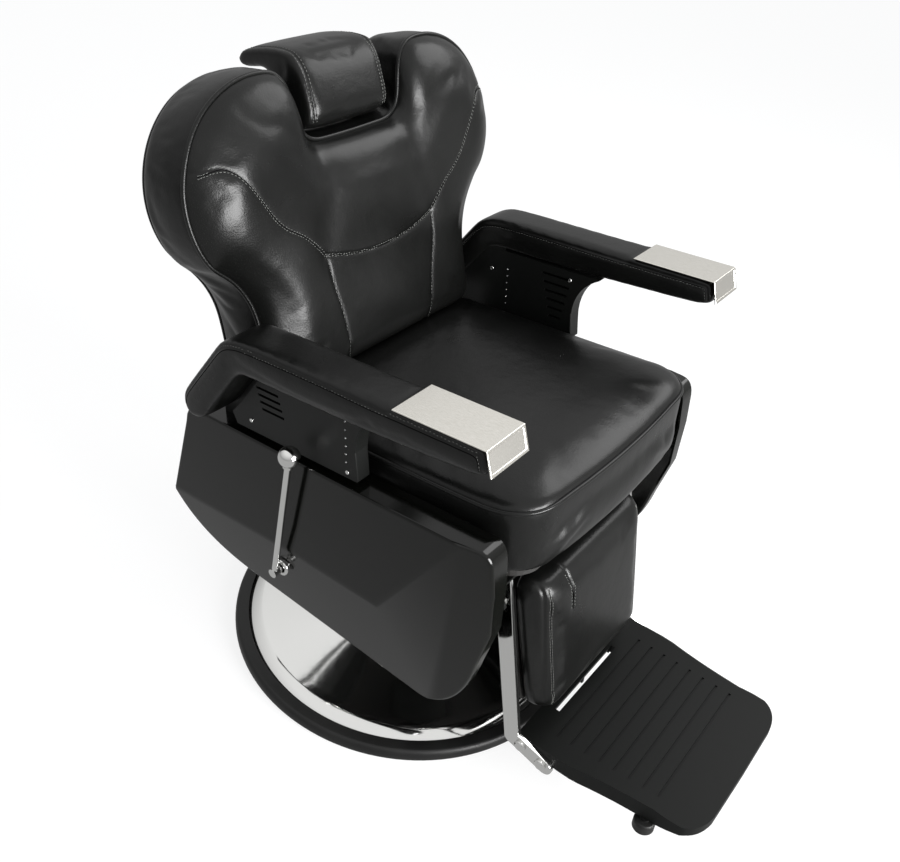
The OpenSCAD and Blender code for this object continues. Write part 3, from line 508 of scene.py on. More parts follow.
def vinyl():
    """PVC-coated upholstery cloth, embossed with a hide grain: black, with a soft broad gloss."""
    settings = bpy.context.scene.barber_upholstery
    material, tree, shader, place = new_material(
        "upholstery_vinyl", Roughness=settings.roughness, IOR=1.5, Specular_IOR_Level=0.3)
    # hide grain about 2.4 mm across, drawn twice as coarse as it is so that it shows
    grain = add(tree, "ShaderNodeTexVoronoi",
                {"Scale": 1 / (2.4 * MM), "feature": "SMOOTH_F1", "Smoothness": 0.6}, Vector=place)
    # puckers of the cover, about 45 mm apart
    pucker = add(tree, "ShaderNodeTexNoise", {"Scale": 1 / (45 * MM), "Detail": 3.0}, Vector=place)
    # patches where hands and cloth have polished it, about 120 mm apart
    wear = add(tree, "ShaderNodeTexNoise", {"Scale": 1 / (120 * MM), "Detail": 4.0}, Vector=place)
    worn = [c * 1.7 for c in settings.vinyl]
    tinted(tree, shader, wear.outputs["Fac"], [*settings.vinyl, 1], [*worn, 1])
    ranged(tree, shader, "Roughness", wear.outputs["Fac"], settings.roughness - 0.05,
           settings.roughness + 0.08)
    bumped(tree, shader, (pucker.outputs["Fac"], 3 * MM, 0.3),
           (grain.outputs["Distance"], 0.25 * MM, 0.35))
    return material


def painted_seam_shade():
    """Painted shade in a seam: the vinyl's folded edge in a matte black, darker than the vinyl and without
    its gloss, that stands in for the shade in the seam.
    """
    return new_material("seam_painted_shade_black", Base_Color=linear("#060606"), Roughness=0.9,
                        Specular_IOR_Level=0.05)[0]


def thread():
    """Polyester sewing thread, grey: a twisted strand that catches a little light."""
    material, tree, shader, place = new_material(
        "grey_thread", Base_Color=linear("#686966"), Roughness=0.5)
    twist = add(tree, "ShaderNodeTexWave", {"Scale": 1 / (1.2 * MM), "Distortion": 1.0}, Vector=place)
    bumped(tree, shader, (twist.outputs["Fac"], 0.2 * MM, 0.4))
    return material


def moulded_abs():
    """Gloss ABS, injection moulded: a black that mirrors the floor faintly, with fine flow waves."""
    settings = bpy.context.scene.barber_shells
    material, tree, shader, place = new_material(
        "gloss_abs", Base_Color=[*settings.plastic, 1], Roughness=0.1, IOR=1.5,
        Specular_IOR_Level=0.36)
    flow = add(tree, "ShaderNodeTexNoise", {"Scale": 1 / (90 * MM), "Detail": 1.5}, Vector=place)
    dust = add(tree, "ShaderNodeTexNoise", {"Scale": 1 / (4 * MM), "Detail": 6.0}, Vector=place)
    ranged(tree, shader, "Roughness", dust.outputs["Fac"], 0.07, 0.16)
    bumped(tree, shader, (flow.outputs["Fac"], 1.5 * MM, 0.12))
    return material


def satin_abs():
    """Satin ABS with a fine spark-eroded texture: a dull black with a wide, weak sheen."""
    material, tree, shader, place = new_material(
        "satin_abs", Base_Color=linear("#0d0e0d"), Roughness=0.42, IOR=1.5, Specular_IOR_Level=0.25)
    spark = add(tree, "ShaderNodeTexNoise", {"Scale": 1 / (1.1 * MM), "Detail": 3.0}, Vector=place)
    ranged(tree, shader, "Roughness", spark.outputs["Fac"], 0.36, 0.5)
    bumped(tree, shader, (spark.outputs["Fac"], 0.12 * MM, 0.3))
    return material


def chrome():
    """Bright chromium plate over polished steel: a near mirror with faint buffing waves."""
    material, tree, shader, place = new_material(
        "polished_chrome", Base_Color=linear("#dcdcda"), Metallic=1.0, Roughness=0.06)
    buff = add(tree, "ShaderNodeTexNoise", {"Scale": 1 / (30 * MM), "Detail": 2.0}, Vector=place)
    haze = add(tree, "ShaderNodeTexNoise", {"Scale": 1 / (8 * MM), "Detail": 5.0}, Vector=place)
    ranged(tree, shader, "Roughness", haze.outputs["Fac"], 0.04, 0.12)
    bumped(tree, shader, (buff.outputs["Fac"], 0.4 * MM, 0.12))
    return material


def brushed_steel():
    """Stainless steel, brushed along the arm: pale and even, with fine long scratches."""
    material, tree, shader, place = new_material(
        "brushed_stainless", Base_Color=linear("#f0ede5"), Metallic=1.0, Roughness=0.22)
    across, along = 1 / (0.7 * MM), 1 / (40 * MM)
    stretched = add(tree, "ShaderNodeMapping", {"Scale": (across, along, across)}, Vector=place)
    scratch = add(tree, "ShaderNodeTexNoise", {"Scale": 1.0, "Detail": 4.0},
                  Vector=stretched.outputs["Vector"])
    tinted(tree, shader, scratch.outputs["Fac"], linear("#ebe8df"), linear("#fbf8f1"))
    ranged(tree, shader, "Roughness", scratch.outputs["Fac"], 0.17, 0.27)
    bumped(tree, shader, (scratch.outputs["Fac"], 0.05 * MM, 0.3))
    return material


def powder_coat():
    """Polyester powder coat on steel: satin black with a slight orange peel."""
    material, tree, shader, place = new_material(
        "powder_coat", Base_Color=linear("#0d0e0d"), Roughness=0.42, IOR=1.5, Specular_IOR_Level=0.13)
    peel = add(tree, "ShaderNodeTexNoise", {"Scale": 1 / (1.6 * MM), "Detail": 2.0}, Vector=place)
    ranged(tree, shader, "Roughness", peel.outputs["Fac"], 0.36, 0.5)
    bumped(tree, shader, (peel.outputs["Fac"], 0.15 * MM, 0.35))
    return material


def moulded_rubber():
    """Carbon-black rubber, moulded: matte, with a bloom that greys it in patches."""
    material, tree, shader, place = new_material(
        "moulded_rubber", Roughness=0.45, IOR=1.5, Specular_IOR_Level=0.35)
    bloom = add(tree, "ShaderNodeTexNoise", {"Scale": 1 / (60 * MM), "Detail": 5.0}, Vector=place)
    tinted(tree, shader, bloom.outputs["Fac"], linear("#0b0b0b"), linear("#141413"))
    ranged(tree, shader, "Roughness", bloom.outputs["Fac"], 0.38, 0.55)
    pores = add(tree, "ShaderNodeTexNoise", {"Scale": 1 / (1.2 * MM), "Detail": 2.0}, Vector=place)
    bumped(tree, shader, (pores.outputs["Fac"], 0.1 * MM, 0.25))
    return material


def turned_steel():
    """Machined steel: grey, with fine turning marks."""
    material, tree, shader, place = new_material(
        "turned_steel", Base_Color=linear("#b4b5b6"), Metallic=1.0, Roughness=0.28)
    marks = add(tree, "ShaderNodeTexWave",
                {"Scale": 1 / (3 * MM), "bands_direction": "Z", "Distortion": 0.6}, Vector=place)
    ranged(tree, shader, "Roughness", marks.outputs["Fac"], 0.22, 0.36)
    bumped(tree, shader, (marks.outputs["Fac"], 0.04 * MM, 0.3))
    return material


def cast_iron():
    """Grey iron, sand cast and dipped in primer: dark and coarse."""
    material, tree, shader, place = new_material(
        "primed_cast_iron", Base_Color=linear("#2c2d2e"), Metallic=0.3, Roughness=0.7)
    sand = add(tree, "ShaderNodeTexNoise", {"Scale": 1 / (2 * MM), "Detail": 6.0}, Vector=place)
    bumped(tree, shader, (sand.outputs["Fac"], 0.5 * MM, 0.5))
    return material


def stained_ply():
    """Birch plywood, stained black: dull, with the long grain just showing."""
    material, tree, shader, place = new_material("stained_plywood", Roughness=0.6)
    across, along = 1 / (9 * MM), 1 / (120 * MM)
    grain_way = add(tree, "ShaderNodeMapping", {"Scale": (across, along, across)}, Vector=place)
    grain = add(tree, "ShaderNodeTexNoise", {"Scale": 1.0, "Detail": 5.0, "Distortion": 0.6},
                Vector=grain_way.outputs["Vector"])
    tinted(tree, shader, grain.outputs["Fac"], linear("#0c0b0a"), linear("#1b1917"))
    bumped(tree, shader, (grain.outputs["Fac"], 0.2 * MM, 0.2))
    return material


# The seams' matte black cords are painted shade.
MAKERS = {
    "vinyl": vinyl, "seam_shade": painted_seam_shade, "thread": thread, "gloss": moulded_abs, "satin": satin_abs,
    "chrome": chrome, "brushed": brushed_steel, "coat": powder_coat, "rubber": moulded_rubber,
    "steel": turned_steel, "iron": cast_iron, "ply": stained_ply,
}
made = {}


def material_of(kind):
    """Each material is made once."""
    if kind not in made:
        made[kind] = MAKERS[kind]()
    return made[kind]


# ---------------------------------------------------------------- upholstery

def stuffed(node, name, voxel, cap, held, shrink=1.5 * MM, soft=2):
    """A padded piece: the CAD solid, drawn in a little, remeshed, filled by pressure and refined.

    cap is the most that a point may swell, and held gives 1 for each point that stays.
    """
    piece = copy_of(node, name)
    make_active(piece)
    bpy.ops.object.mode_set(mode="EDIT")
    bpy.ops.mesh.select_all(action="SELECT")
    bpy.ops.mesh.tris_convert_to_quads(face_threshold=radians(40), shape_threshold=radians(60))
    bpy.ops.object.mode_set(mode="OBJECT")
    apply_modifier(piece, "SUBSURF", levels=soft, render_levels=soft)
    apply_modifier(piece, "REMESH", mode="VOXEL", voxel_size=voxel)
    apply_modifier(piece, "SMOOTH", factor=0.5, iterations=6)
    rest = coords(piece)
    fixed = held(rest)
    move_to(piece, rest - normals(piece) * shrink * (1 - fixed)[:, None])
    start = coords(piece)
    fill(piece, np.nonzero(fixed > 0.5)[0])
    moved = coords(piece) - start
    length = np.linalg.norm(moved, axis=1)
    share = np.minimum(1, cap / np.maximum(length, 1e-9))
    move_to(piece, start + moved * share[:, None])
    apply_modifier(piece, "SMOOTH", factor=0.5, iterations=5)
    apply_modifier(piece, "SUBSURF", levels=1, render_levels=1)
    return piece


FILL_FRAMES = 20


def fill(piece, fixed):
    """Lets the cover swell under pressure, held at its piping and its board."""
    group = piece.vertex_groups.new(name="held")
    group.add([int(i) for i in fixed], 1.0, "REPLACE")
    make_active(piece)
    cloth = piece.modifiers.new("Cloth", "CLOTH")
    cloth.settings.quality = 4
    cloth.settings.tension_stiffness = 20
    cloth.settings.compression_stiffness = 20
    cloth.settings.shear_stiffness = 8
    cloth.settings.use_pressure = True
    cloth.settings.uniform_pressure_force = bpy.context.scene.barber_upholstery.pressure
    cloth.settings.effector_weights.gravity = 0
    cloth.settings.vertex_group_mass = "held"
    cloth.point_cache.frame_start = 1
    cloth.point_cache.frame_end = FILL_FRAMES
    scene = bpy.context.scene
    for number in range(1, FILL_FRAMES + 1):
        scene.frame_set(number)
    bpy.ops.object.modifier_apply(modifier="Cloth")
    scene.frame_set(1)
    piece.vertex_groups.clear()


def carve(piece, place, plane, facing, lines, fade=(0.15, 0.45)):
    """Draws the cover in along lines.

    Each line is (points, groove depth, groove width, valley depth, valley width), its points in
    the two axes of plane, and it acts where the cover faces the same way as facing. fade is where
    that starts and over how much of the facing it comes in.
    """
    points = coords(piece)
    outward = normals(piece)
    seen = rising(turned(outward, place) @ np.array(facing), *fade)
    flat = local(points, place)[:, plane]
    pull = np.zeros(len(points))
    for line, groove, groove_w, valley, valley_w in lines:
        d = distance(flat, [tuple(p)[:2] for p in line])
        pull += groove * np.exp(-(d / groove_w) ** 2) + valley * np.exp(-(d / valley_w) ** 2)
    move_to(piece, points - outward * (pull * seen)[:, None])


def swell(piece, place, plane, facing, spots):
    """Pushes the cover out round spots, each (centre, height, reach)."""
    points = coords(piece)
    outward = normals(piece)
    seen = rising(turned(outward, place) @ np.array(facing), 0.1, 0.5)
    flat = local(points, place)[:, plane]
    push = np.zeros(len(points))
    for centre, height, reach in spots:
        d = np.linalg.norm((flat - np.array(centre)) / np.array(reach), axis=1)
        push += height * np.exp(-d ** 2)
    move_to(piece, points + outward * (push * seen)[:, None])


def mirrored(line):
    """The same line on the other side of the chair."""
    return [Vector((-p[0], *p[1:])) for p in line]


def mm(points):
    """Points given in mm."""
    return [Vector([c * MM for c in p]) for p in points]


def shifted(line, side):
    """A line beside another one, in the plane of its first two axes."""
    p = np.array([tuple(q)[:2] for q in line])
    way = np.gradient(p, axis=0)
    way /= np.maximum(np.linalg.norm(way, axis=1), 1e-9)[:, None]
    return p + np.stack([-way[:, 1], way[:, 0]], 1) * side


def on_front(line, depth):
    """A flat line, as (x, height), stood in front of a cushion at a depth of the part's own frame."""
    return np.array([(p[0], depth, p[1]) for p in line])


def on_side(line, x):
    """A flat line, as (y, z), stood beside a cushion."""
    return np.array([(x, *p) for p in line])


# Seams of the back as (x, height along the back) in mm. All but the cross seam have a twin at -x.
LOBE_SEAM = mm([(320, 297), (264, 290), (205, 208), (158, 172), (122, 135)])
WAIST_SEAM = mm([(122, 135), (118, 91), (108, 45), (101, -8), (99, -50)])
CROSS_SEAM = mm([(-122, 135), (-58, 121), (0, 117), (58, 121), (122, 135)])
NOTCH_CREASE = mm([(96, 292), (99, 240), (112, 185), (122, 140)])

# Where the back bulges, as (x, height, how far, reach across, reach up) in mm. A bulge beside the
# middle is on both sides.
BACK_BULGES = [(272, 236, 6, 46, 70), (190, 300, 5, 75, 60), (165, 90, 2, 36, 80), (0, 215, 4, 70, 60),
               (0, 30, 4, 75, 60)]


def back_lines():
    """The back's seams, and what they and the crease below the notch draw in, as carve takes it."""
    lobe, waist, crease = through(LOBE_SEAM), through(WAIST_SEAM), through(NOTCH_CREASE)
    cross = through(CROSS_SEAM)
    depth = bpy.context.scene.barber_upholstery.seam_depth
    groove, valley = 2.6 * MM, 10 * MM
    carved = [(cross, depth, groove, 0.7 * MM, valley)]
    for turn in (list, mirrored):
        carved += [(turn(lobe), depth / 2, groove, 0.3 * MM, valley),
                   (turn(waist), depth, groove, 0.5 * MM, valley),
                   (turn(crease), 0, groove, 3 * MM, 26 * MM)]
    return lobe, waist, cross, carved


def upholster_back():
    """The back's cover, with its seams, its stitches and the piping round its front and its rear."""
    shell_depth, lower_edge = 78 * MM, -30 * MM
    front = -30 * MM
    gap = 3.2 * MM
    piping_depths = {"back_piping": -1 * MM, "back_rear_piping": 91 * MM}

    def held(points):
        """The cover is held at its shell and tucked in at its lower edge."""
        p = local(points, BACK)
        return ((p[:, 1] > shell_depth) | (p[:, 2] < lower_edge)).astype(float)

    piece = stuffed("back_cushion", "back_cover", 6 * MM, 4 * MM, held)
    lobe, waist, cross, carved = back_lines()
    swell(piece, BACK, [0, 2], (0, -1, 0), [
        ((side * x * MM, z * MM), height * MM, (wide * MM, tall * MM))
        for x, z, height, wide, tall in BACK_BULGES for side in ((-1, 1) if x else (1,))])
    carve(piece, BACK, [0, 2], (0, -1, 0), carved)
    cover(piece, "back", "back_cushion")
    rows = [shifted(cross, gap), shifted(cross, -gap)]
    for turn in (list, mirrored):
        rows += [shifted(turn(lobe), gap), shifted(turn(lobe), -gap), shifted(turn(waist), gap)]
    seams = (cross, lobe, mirrored(lobe), waist, mirrored(waist))
    seam_cord_shade("back_seams", piece, [on_front(line, front) for line in seams], BACK, "back")
    sew("back_stitches", piece, [on_front(row, front) for row in rows], BACK, "back")
    for name, depth in piping_depths.items():
        pipe(name, piece, "back_cushion", BACK, Y, depth, 4, "back")


FLAP_PLACE = (0, 152 * MM, 510 * MM)
FLAP_SIZE = (330 * MM, 52 * MM, 3 * MM)


def hang_flap():
    """A flap of vinyl under the seat's rear edge, which closes the gap below the back."""
    deselect()
    bpy.ops.mesh.primitive_cube_add(size=1, location=FLAP_PLACE)
    flap = bpy.context.object
    flap.name = "seat_rear_flap"
    flap.scale = FLAP_SIZE
    bpy.ops.object.transform_apply(location=True, rotation=True, scale=True)
    cover(flap, "seat")


def upholster_seat():
    """The seat's cover, with the piping round its top and the flap behind it."""
    board_level, piping_level = 452 * MM, 552 * MM
    rear_held, rear_growth = 42 * MM, 14 * MM

    def held(points):
        """The cover is held at its board and at its rear edge."""
        p = local(points, SEAT)
        return ((p[:, 2] < board_level) | (p[:, 1] > rear_held)).astype(float)

    piece = stuffed("seat_cushion", "seat_cover", 6 * MM, 4 * MM, held)
    # the rear edge grows backwards, over the gap below the back
    points = coords(piece)
    p = local(points, SEAT)
    rear = rising(p[:, 1], 20 * MM, 40 * MM) * rising(p[:, 2], 480 * MM, 30 * MM)
    move_to(piece, points + np.outer(rear, (0, rear_growth, 0)))
    # the sitter's hollow, and the front edge's firm roll
    swell(piece, SEAT, [0, 1], (0, 0, 1), [
        ((0, -110 * MM), -7 * MM, (150 * MM, 120 * MM)), ((0, -330 * MM), 4 * MM, (190 * MM, 45 * MM))])
    cover(piece, "seat", "seat_cushion")
    hang_flap()
    pipe("seat_piping", piece, "seat_cushion", SEAT, Z, piping_level, 5, "seat")


def upholster_arm(side):
    """An arm pad: its outline runs along the arm and turns down over the panel's rear."""
    node = "arm_pad_" + side
    plate_rear, plate_level = -232 * MM, 700 * MM
    seam_inset, gap, clear = 9 * MM, 2.6 * MM, 5 * MM

    def held(points):
        """The cover lies flat under the steel plate."""
        p = local(points, SEAT)
        return ((p[:, 1] < plate_rear) & (p[:, 2] > plate_level)).astype(float)

    piece = stuffed(node, "arm_cover_" + side, 4 * MM, 1 * MM, held, 0.8 * MM, soft=1)
    low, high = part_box(node)
    profile = local(section(node, SEAT, X, (low.x + high.x) / 2), SEAT)[:, 1:]
    ring = softened(even(profile, 4 * MM), 3)
    outward = outward_of(ring)
    # the seam follows the outline, except where that faces down
    seam = (ring - outward * seam_inset)[longest_run(outward[:, 1] > -0.25)]
    for facing in (-1, 1):
        carve(piece, SEAT, [1, 2], (facing, 0, 0), [(seam, 1.2 * MM, 2.0 * MM, 0.8 * MM, 7 * MM)])
    cover(piece, "seat", node)
    faces = (low.x - clear, high.x + clear)
    beside = shifted(seam, gap)
    seam_cord_shade("arm_seams_" + side, piece, [on_side(seam, x) for x in faces], SEAT, "seat")
    sew("arm_stitches_" + side, piece, [on_side(beside, x) for x in faces], SEAT, "seat",
        length=2.8 * MM, width=0.7 * MM)


def upholster_headrest():
    """The headrest's roll, with a stitched seam near each end."""
    node = "headrest_cushion"
    upper_front = (0, -0.8, 0.6)
    seam_inset, gap = 13 * MM, 3 * MM

    def held(points):
        """Nothing holds the roll."""
        return np.zeros(len(points))

    piece = stuffed(node, "headrest_cover", 4 * MM, 1.5 * MM, held, 0.6 * MM)
    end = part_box(node)[1].x - seam_inset
    carve(piece, BACK, [0, 2], upper_front, [
        (((x, -1), (x, 1)), 1.6 * MM, 2.2 * MM, 1.2 * MM, 8 * MM) for x in (-end, end)], (0.1, 0.5))
    cover(piece, "headrest", node)
    rows = []
    for x in (-end - gap, -end + gap, end - gap, end + gap):
        ring = softened(even(local(section(node, BACK, X, x), BACK), 4 * MM), 2)
        shown = outward_of(ring[:, 1:]) @ np.array(upper_front[1:]) > 0.1
        rows.append(ring[longest_run(shown)])
    sew("headrest_stitches", piece, rows, BACK, "headrest")


# The dart at the calf pad's upper corner as (x, height along the leg rest) in mm
CALF_DART = mm([(-84, -40), (-80, -75), (-82, -112)])


def upholster_calf():
    """The calf pad's cover, with a seam down each side and a dart."""
    node = "calf_pad"
    board_depth, front = -4 * MM, -70 * MM
    side_inset, top, middle, bottom = 15 * MM, -40 * MM, -90 * MM, -300 * MM
    top_lift, gap = 12 * MM, 3 * MM

    def held(points):
        """The cover is held at its board."""
        return (local(points, LEG)[:, 1] > board_depth).astype(float)

    piece = stuffed(node, "calf_cover", 5 * MM, 2.5 * MM, held, 0.8 * MM, soft=1)
    # the top edge, tucked up behind the seat's front
    points = coords(piece)
    upper = rising(local(points, LEG)[:, 2], -110 * MM, 60 * MM)
    move_to(piece, points + np.outer(upper, LEG.to_3x3() @ (Z * top_lift)))
    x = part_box(node)[1].x - side_inset
    side_seam = through([(x, top), (x + 1 * MM, middle), (x, bottom)])
    lines = [side_seam, mirrored(side_seam), through(CALF_DART)]
    depth = bpy.context.scene.barber_upholstery.seam_depth
    carve(piece, LEG, [0, 2], (0, -1, 0), [(l, depth, 2.4 * MM, 0.5 * MM, 7 * MM) for l in lines])
    cover(piece, "leg_rest", node)
    rows = [shifted(line, side) for line in lines for side in (gap, -gap)]
    seam_cord_shade("calf_seams", piece, [on_front(line, front) for line in lines], LEG, "leg_rest")
    sew("calf_stitches", piece, [on_front(row, front) for row in rows], LEG, "leg_rest")


# ---------------------------------------------------------------- rigid pieces

def cleaned(node, name):
    """A copy of a CAD node with its flat faces made whole."""
    obj = copy_of(node, name)
    make_active(obj)
    bpy.ops.object.mode_set(mode="EDIT")
    bpy.ops.mesh.select_all(action="SELECT")
    bpy.ops.mesh.dissolve_limited(angle_limit=radians(1))
    bpy.ops.object.mode_set(mode="OBJECT")
    return obj


def edge_length(edge):
    return (edge.verts[0].co - edge.verts[1].co).length


def eased(obj, width, sharp, segments, keep=lambda edge: True):
    """Rounds a copy's outer edges: those that turn by more than sharp degrees and that keep picks."""
    bm = bmesh.new()
    bm.from_mesh(obj.data)
    weight = bm.edges.layers.float.new("bevel_weight_edge")
    for edge in bm.edges:
        if len(edge.link_faces) != 2 or not edge.is_convex:
            continue
        if edge.calc_face_angle() > radians(sharp) and keep(edge):
            edge[weight] = 1
    bm.to_mesh(obj.data)
    bm.free()
    apply_modifier(obj, "BEVEL", limit_method="WEIGHT", width=width, segments=segments,
                   use_clamp_overlap=True, harden_normals=False)


def inset_faces(obj, wanted, steps):
    """Insets the faces that wanted picks, once for each (thickness, depth)."""
    make_active(obj)
    bpy.ops.object.mode_set(mode="EDIT")
    bpy.ops.mesh.select_mode(type="FACE")
    bpy.ops.mesh.select_all(action="DESELECT")
    bpy.ops.object.mode_set(mode="OBJECT")
    for polygon in obj.data.polygons:
        polygon.select = wanted(polygon)
    bpy.ops.object.mode_set(mode="EDIT")
    for thickness, depth in steps:
        bpy.ops.mesh.inset(thickness=thickness, depth=depth)
    bpy.ops.object.mode_set(mode="OBJECT")


def screw_head(name, place, facing, radius):
    """A pan head with a shallow recess, facing outwards."""
    height, rounding, recess = 2.4 * MM, 0.9 * MM, 0.5 * MM
    turn = Z.rotation_difference(Vector(facing)).to_matrix().to_4x4()
    turn.translation = Vector(place)
    deselect()
    bpy.ops.mesh.primitive_cylinder_add(vertices=24, radius=radius, depth=height)
    head = bpy.context.object
    head.name = name
    apply_modifier(head, "BEVEL", width=rounding, segments=3, limit_method="ANGLE")
    top = max(polygon.center.z for polygon in head.data.polygons)
    inset_faces(head, lambda polygon: polygon.center.z > top - 0.01 * MM, [(radius * 0.27, -recess)])
    head.data.transform(turn)
    return head


# A casing's inner lip, and the slot in it for the arm's support, as places in the seat's own frame
LIP_SIDE = 254 * MM
SLOT_SIDE, SLOT_HALF_WIDTH = 273 * MM, 5 * MM
SLOT_FRONT, SLOT_REAR = -130 * MM, 25 * MM


def shape_casing(side):
    """A moulded casing: its outer edges are rounded, and those of its lip and its slot aren't."""
    node = "casing_" + side
    shell = cleaned(node, "casing_shell_" + side)

    def outer(edge):
        ends = [v.co for v in edge.verts]
        on_lip = min(abs(end.x) for end in ends) < LIP_SIDE
        p = local(np.array(ends), SEAT)
        in_slot = np.all((abs(abs(p[:, 0]) - SLOT_SIDE) < SLOT_HALF_WIDTH)
                         & (p[:, 1] > SLOT_FRONT) & (p[:, 1] < SLOT_REAR))
        return not on_lip and not in_slot and edge_length(edge) > 1.5 * MM

    eased(shell, bpy.context.scene.barber_shells.edge, 12, 3, outer)
    finish(shell, "seat", material_of("gloss"), 28, [node], flat=True)


# The arm panels' screws as (y, z) in mm in the seat's own frame, then where the column of pins stands on
# each face, and its levels
SCREWS = {"inner": [(-126, 640), (33, 617)], "outer": [(-120, 543), (66, 551)]}
PIN_COLUMN = {"inner": 0, "outer": -118}
PIN_LEVELS = [559 + 13 * i for i in range(6)]
SCREW_RADIUS, SCREW_STAND = 3.4 * MM, 0.6 * MM
PIN_RADIUS, PIN_STAND = 1.3 * MM, 0.2 * MM
PANEL_FRONT_EDGE = -130 * MM


def shape_arm_panel(side):
    """An arm panel: its front edge is well rounded, and each face has two screws and six pins."""
    sign = SIDES[side]
    node = "arm_panel_" + side
    panel = cleaned(node, "arm_panel_skin_" + side)

    def on_front_edge(edge):
        p = local(np.array([v.co for v in edge.verts]), SEAT)
        return edge_length(edge) > 20 * MM and np.all(p[:, 1] < PANEL_FRONT_EDGE)

    eased(panel, 8 * MM, 60, 5, on_front_edge)
    eased(panel, 1.2 * MM, 30, 2, lambda edge: edge_length(edge) > 1.5 * MM)
    finish(panel, "seat", material_of("satin"), HARD_SHADING, [node], flat=True)
    low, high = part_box(node)
    for face, level in zip(SCREWS, sorted((abs(low.x), abs(high.x)))):
        out = sign if face == "outer" else -sign
        for i, (y, z) in enumerate(SCREWS[face]):
            place = SEAT @ Vector((sign * level + out * SCREW_STAND, y * MM, z * MM))
            head = screw_head(f"panel_screw_{side}_{face}_{i + 1}", place, (out, 0, 0), SCREW_RADIUS)
            finish(head, "seat", material_of("chrome"), HARD_SHADING)
        for i, z in enumerate(PIN_LEVELS):
            place = SEAT @ Vector((sign * level + out * PIN_STAND, PIN_COLUMN[face] * MM, z * MM))
            pin = screw_head(f"panel_pin_{side}_{face}_{i + 1}", place, (out, 0, 0), PIN_RADIUS)
            finish(pin, "seat", material_of("steel"), HARD_SHADING)


# The web that closes the gap between an arm panel and the pad's hook: its outline as (y, z) in mm in the
# seat's own frame, and its distance from the chair's middle
WEB = [(8, 652), (40, 632), (84, 575), (104, 551), (98, 502), (150, 502), (150, 560), (118, 590), (80, 640),
       (60, 668), (8, 668)]
WEB_SIDE = 264


def shape_arm_web(side):
    """A thin moulded web, one n-gon drawn to its outline and given a wall."""
    x = SIDES[side] * WEB_SIDE
    deselect()
    bpy.ops.mesh.primitive_circle_add(vertices=len(WEB), radius=0.1, fill_type="NGON")
    web = bpy.context.object
    web.name = "arm_web_" + side
    move_to(web, [SEAT @ Vector((x * MM, y * MM, z * MM)) for y, z in WEB])
    apply_modifier(web, "SOLIDIFY", thickness=2.4 * MM, offset=0)
    finish(web, "seat", material_of("satin"), HARD_SHADING)


def shape_arm_cap(side):
    """The steel plate over the arm's front: a flat top and a turned-down end with a stamped field."""
    node = "arm_cap_" + side
    cap = cleaned(node, "arm_plate_" + side)
    forward = Vector((0, -1, 0.2))
    front = max(cap.data.polygons, key=lambda f: f.normal.dot(forward) * f.area).center.copy()
    inset_faces(cap, lambda polygon: (polygon.center - front).length < 0.01 * MM,
                [(3.5 * MM, 0), (1.2 * MM, -0.9 * MM)])
    eased(cap, 0.7 * MM, 30, 3)
    finish(cap, "seat", material_of("brushed"), HARD_SHADING, [node], flat=True)


# The dish's upper side as (radius, height) in mm, from its rolled-down rim to the pump's flange
DISH = [(303.5, 13), (302, 16), (299, 19.4), (295, 22.4), (290, 25.4), (284, 28.4), (278, 31),
        (276, 31.4), (262, 32), (236, 33.6), (196, 38), (182, 40.6), (168, 43.6), (154, 47), (140, 51),
        (126, 55.8), (112, 61), (105, 62)]
DISH_WALL = 2 * MM


def shape_base():
    """The dish, spun of sheet: its rim rolls down to the rubber ring and mirrors the ceiling."""
    deselect()
    radius, level = DISH[0]
    bpy.ops.mesh.primitive_circle_add(vertices=192, radius=radius * MM, fill_type="NGON",
                                      location=(0, 0, level * MM))
    dish = bpy.context.object
    dish.name = "chrome_dish"
    bpy.ops.object.transform_apply(location=True)
    steps = [((a[0] - b[0]) * MM, (b[1] - a[1]) * MM) for a, b in zip(DISH, DISH[1:])]
    inset_faces(dish, lambda polygon: True, steps)
    apply_modifier(dish, "SOLIDIFY", thickness=DISH_WALL, offset=-1)
    finish(dish, "base", material_of("chrome"), 25, ["base_dish"])
    ring = copy_of("base_ring", "rubber_ring")
    finish(ring, "base", material_of("rubber"), HARD_SHADING, ["base_ring"])


def shape_plain(node, name, body, kind, width):
    """A CAD node's own shape, with its edges rounded."""
    obj = cleaned(node, name)
    eased(obj, width, 30, 2, lambda edge: edge_length(edge) > 1.2 * MM)
    finish(obj, body, material_of(kind), HARD_SHADING, [node], flat=True)


def shape_leg_rest():
    """The leg rest's two bars and the foot plate."""
    for side in SIDES:
        shape_plain("leg_arm_" + side, "leg_bar_" + side, "leg_rest", "chrome", 1.2 * MM)
    shape_plain("foot_plate", "foot_tread", "leg_rest", "coat", 1.6 * MM)


def shape_lever():
    """The recline lever's rod and its ball."""
    ball = copy_of("lever_ball", "lever_knob")
    finish(ball, "lever", material_of("chrome"), 40, ["lever_ball"])
    shape_plain("recline_lever", "lever_rod", "lever", "chrome", 0.8 * MM)


FINISHES = {
    "iron": ["base_ballast"],
    "chrome": ["pump_cylinder", "pump_gland", "pump_ram", "lever_escutcheon", "pedal_arm",
               "headrest_bar", "gas_spring_rod",
               *(f"foot_bolt_{side}_{i}" for side in SIDES for i in (1, 2))],
    "steel": [*(f"base_bolt_{i}" for i in (1, 2, 3, 4)), "pump_piston"],
    "rubber": ["pedal_pad", *(f"foot_bumper_{side}" for side in SIDES)],
    "coat": ["pedal_bracket", "seat_hub", "seat_frame", "gas_spring_body", "back_frame",
             "headrest_guide", "leg_crossbar",
             *(f"{bar}_{side}" for bar in ("link_bar", "arm_support") for side in SIDES)],
    "ply": ["seat_board", "calf_board"],
    "gloss": ["back_shell"],
    "satin": ["headrest_knob"],
}


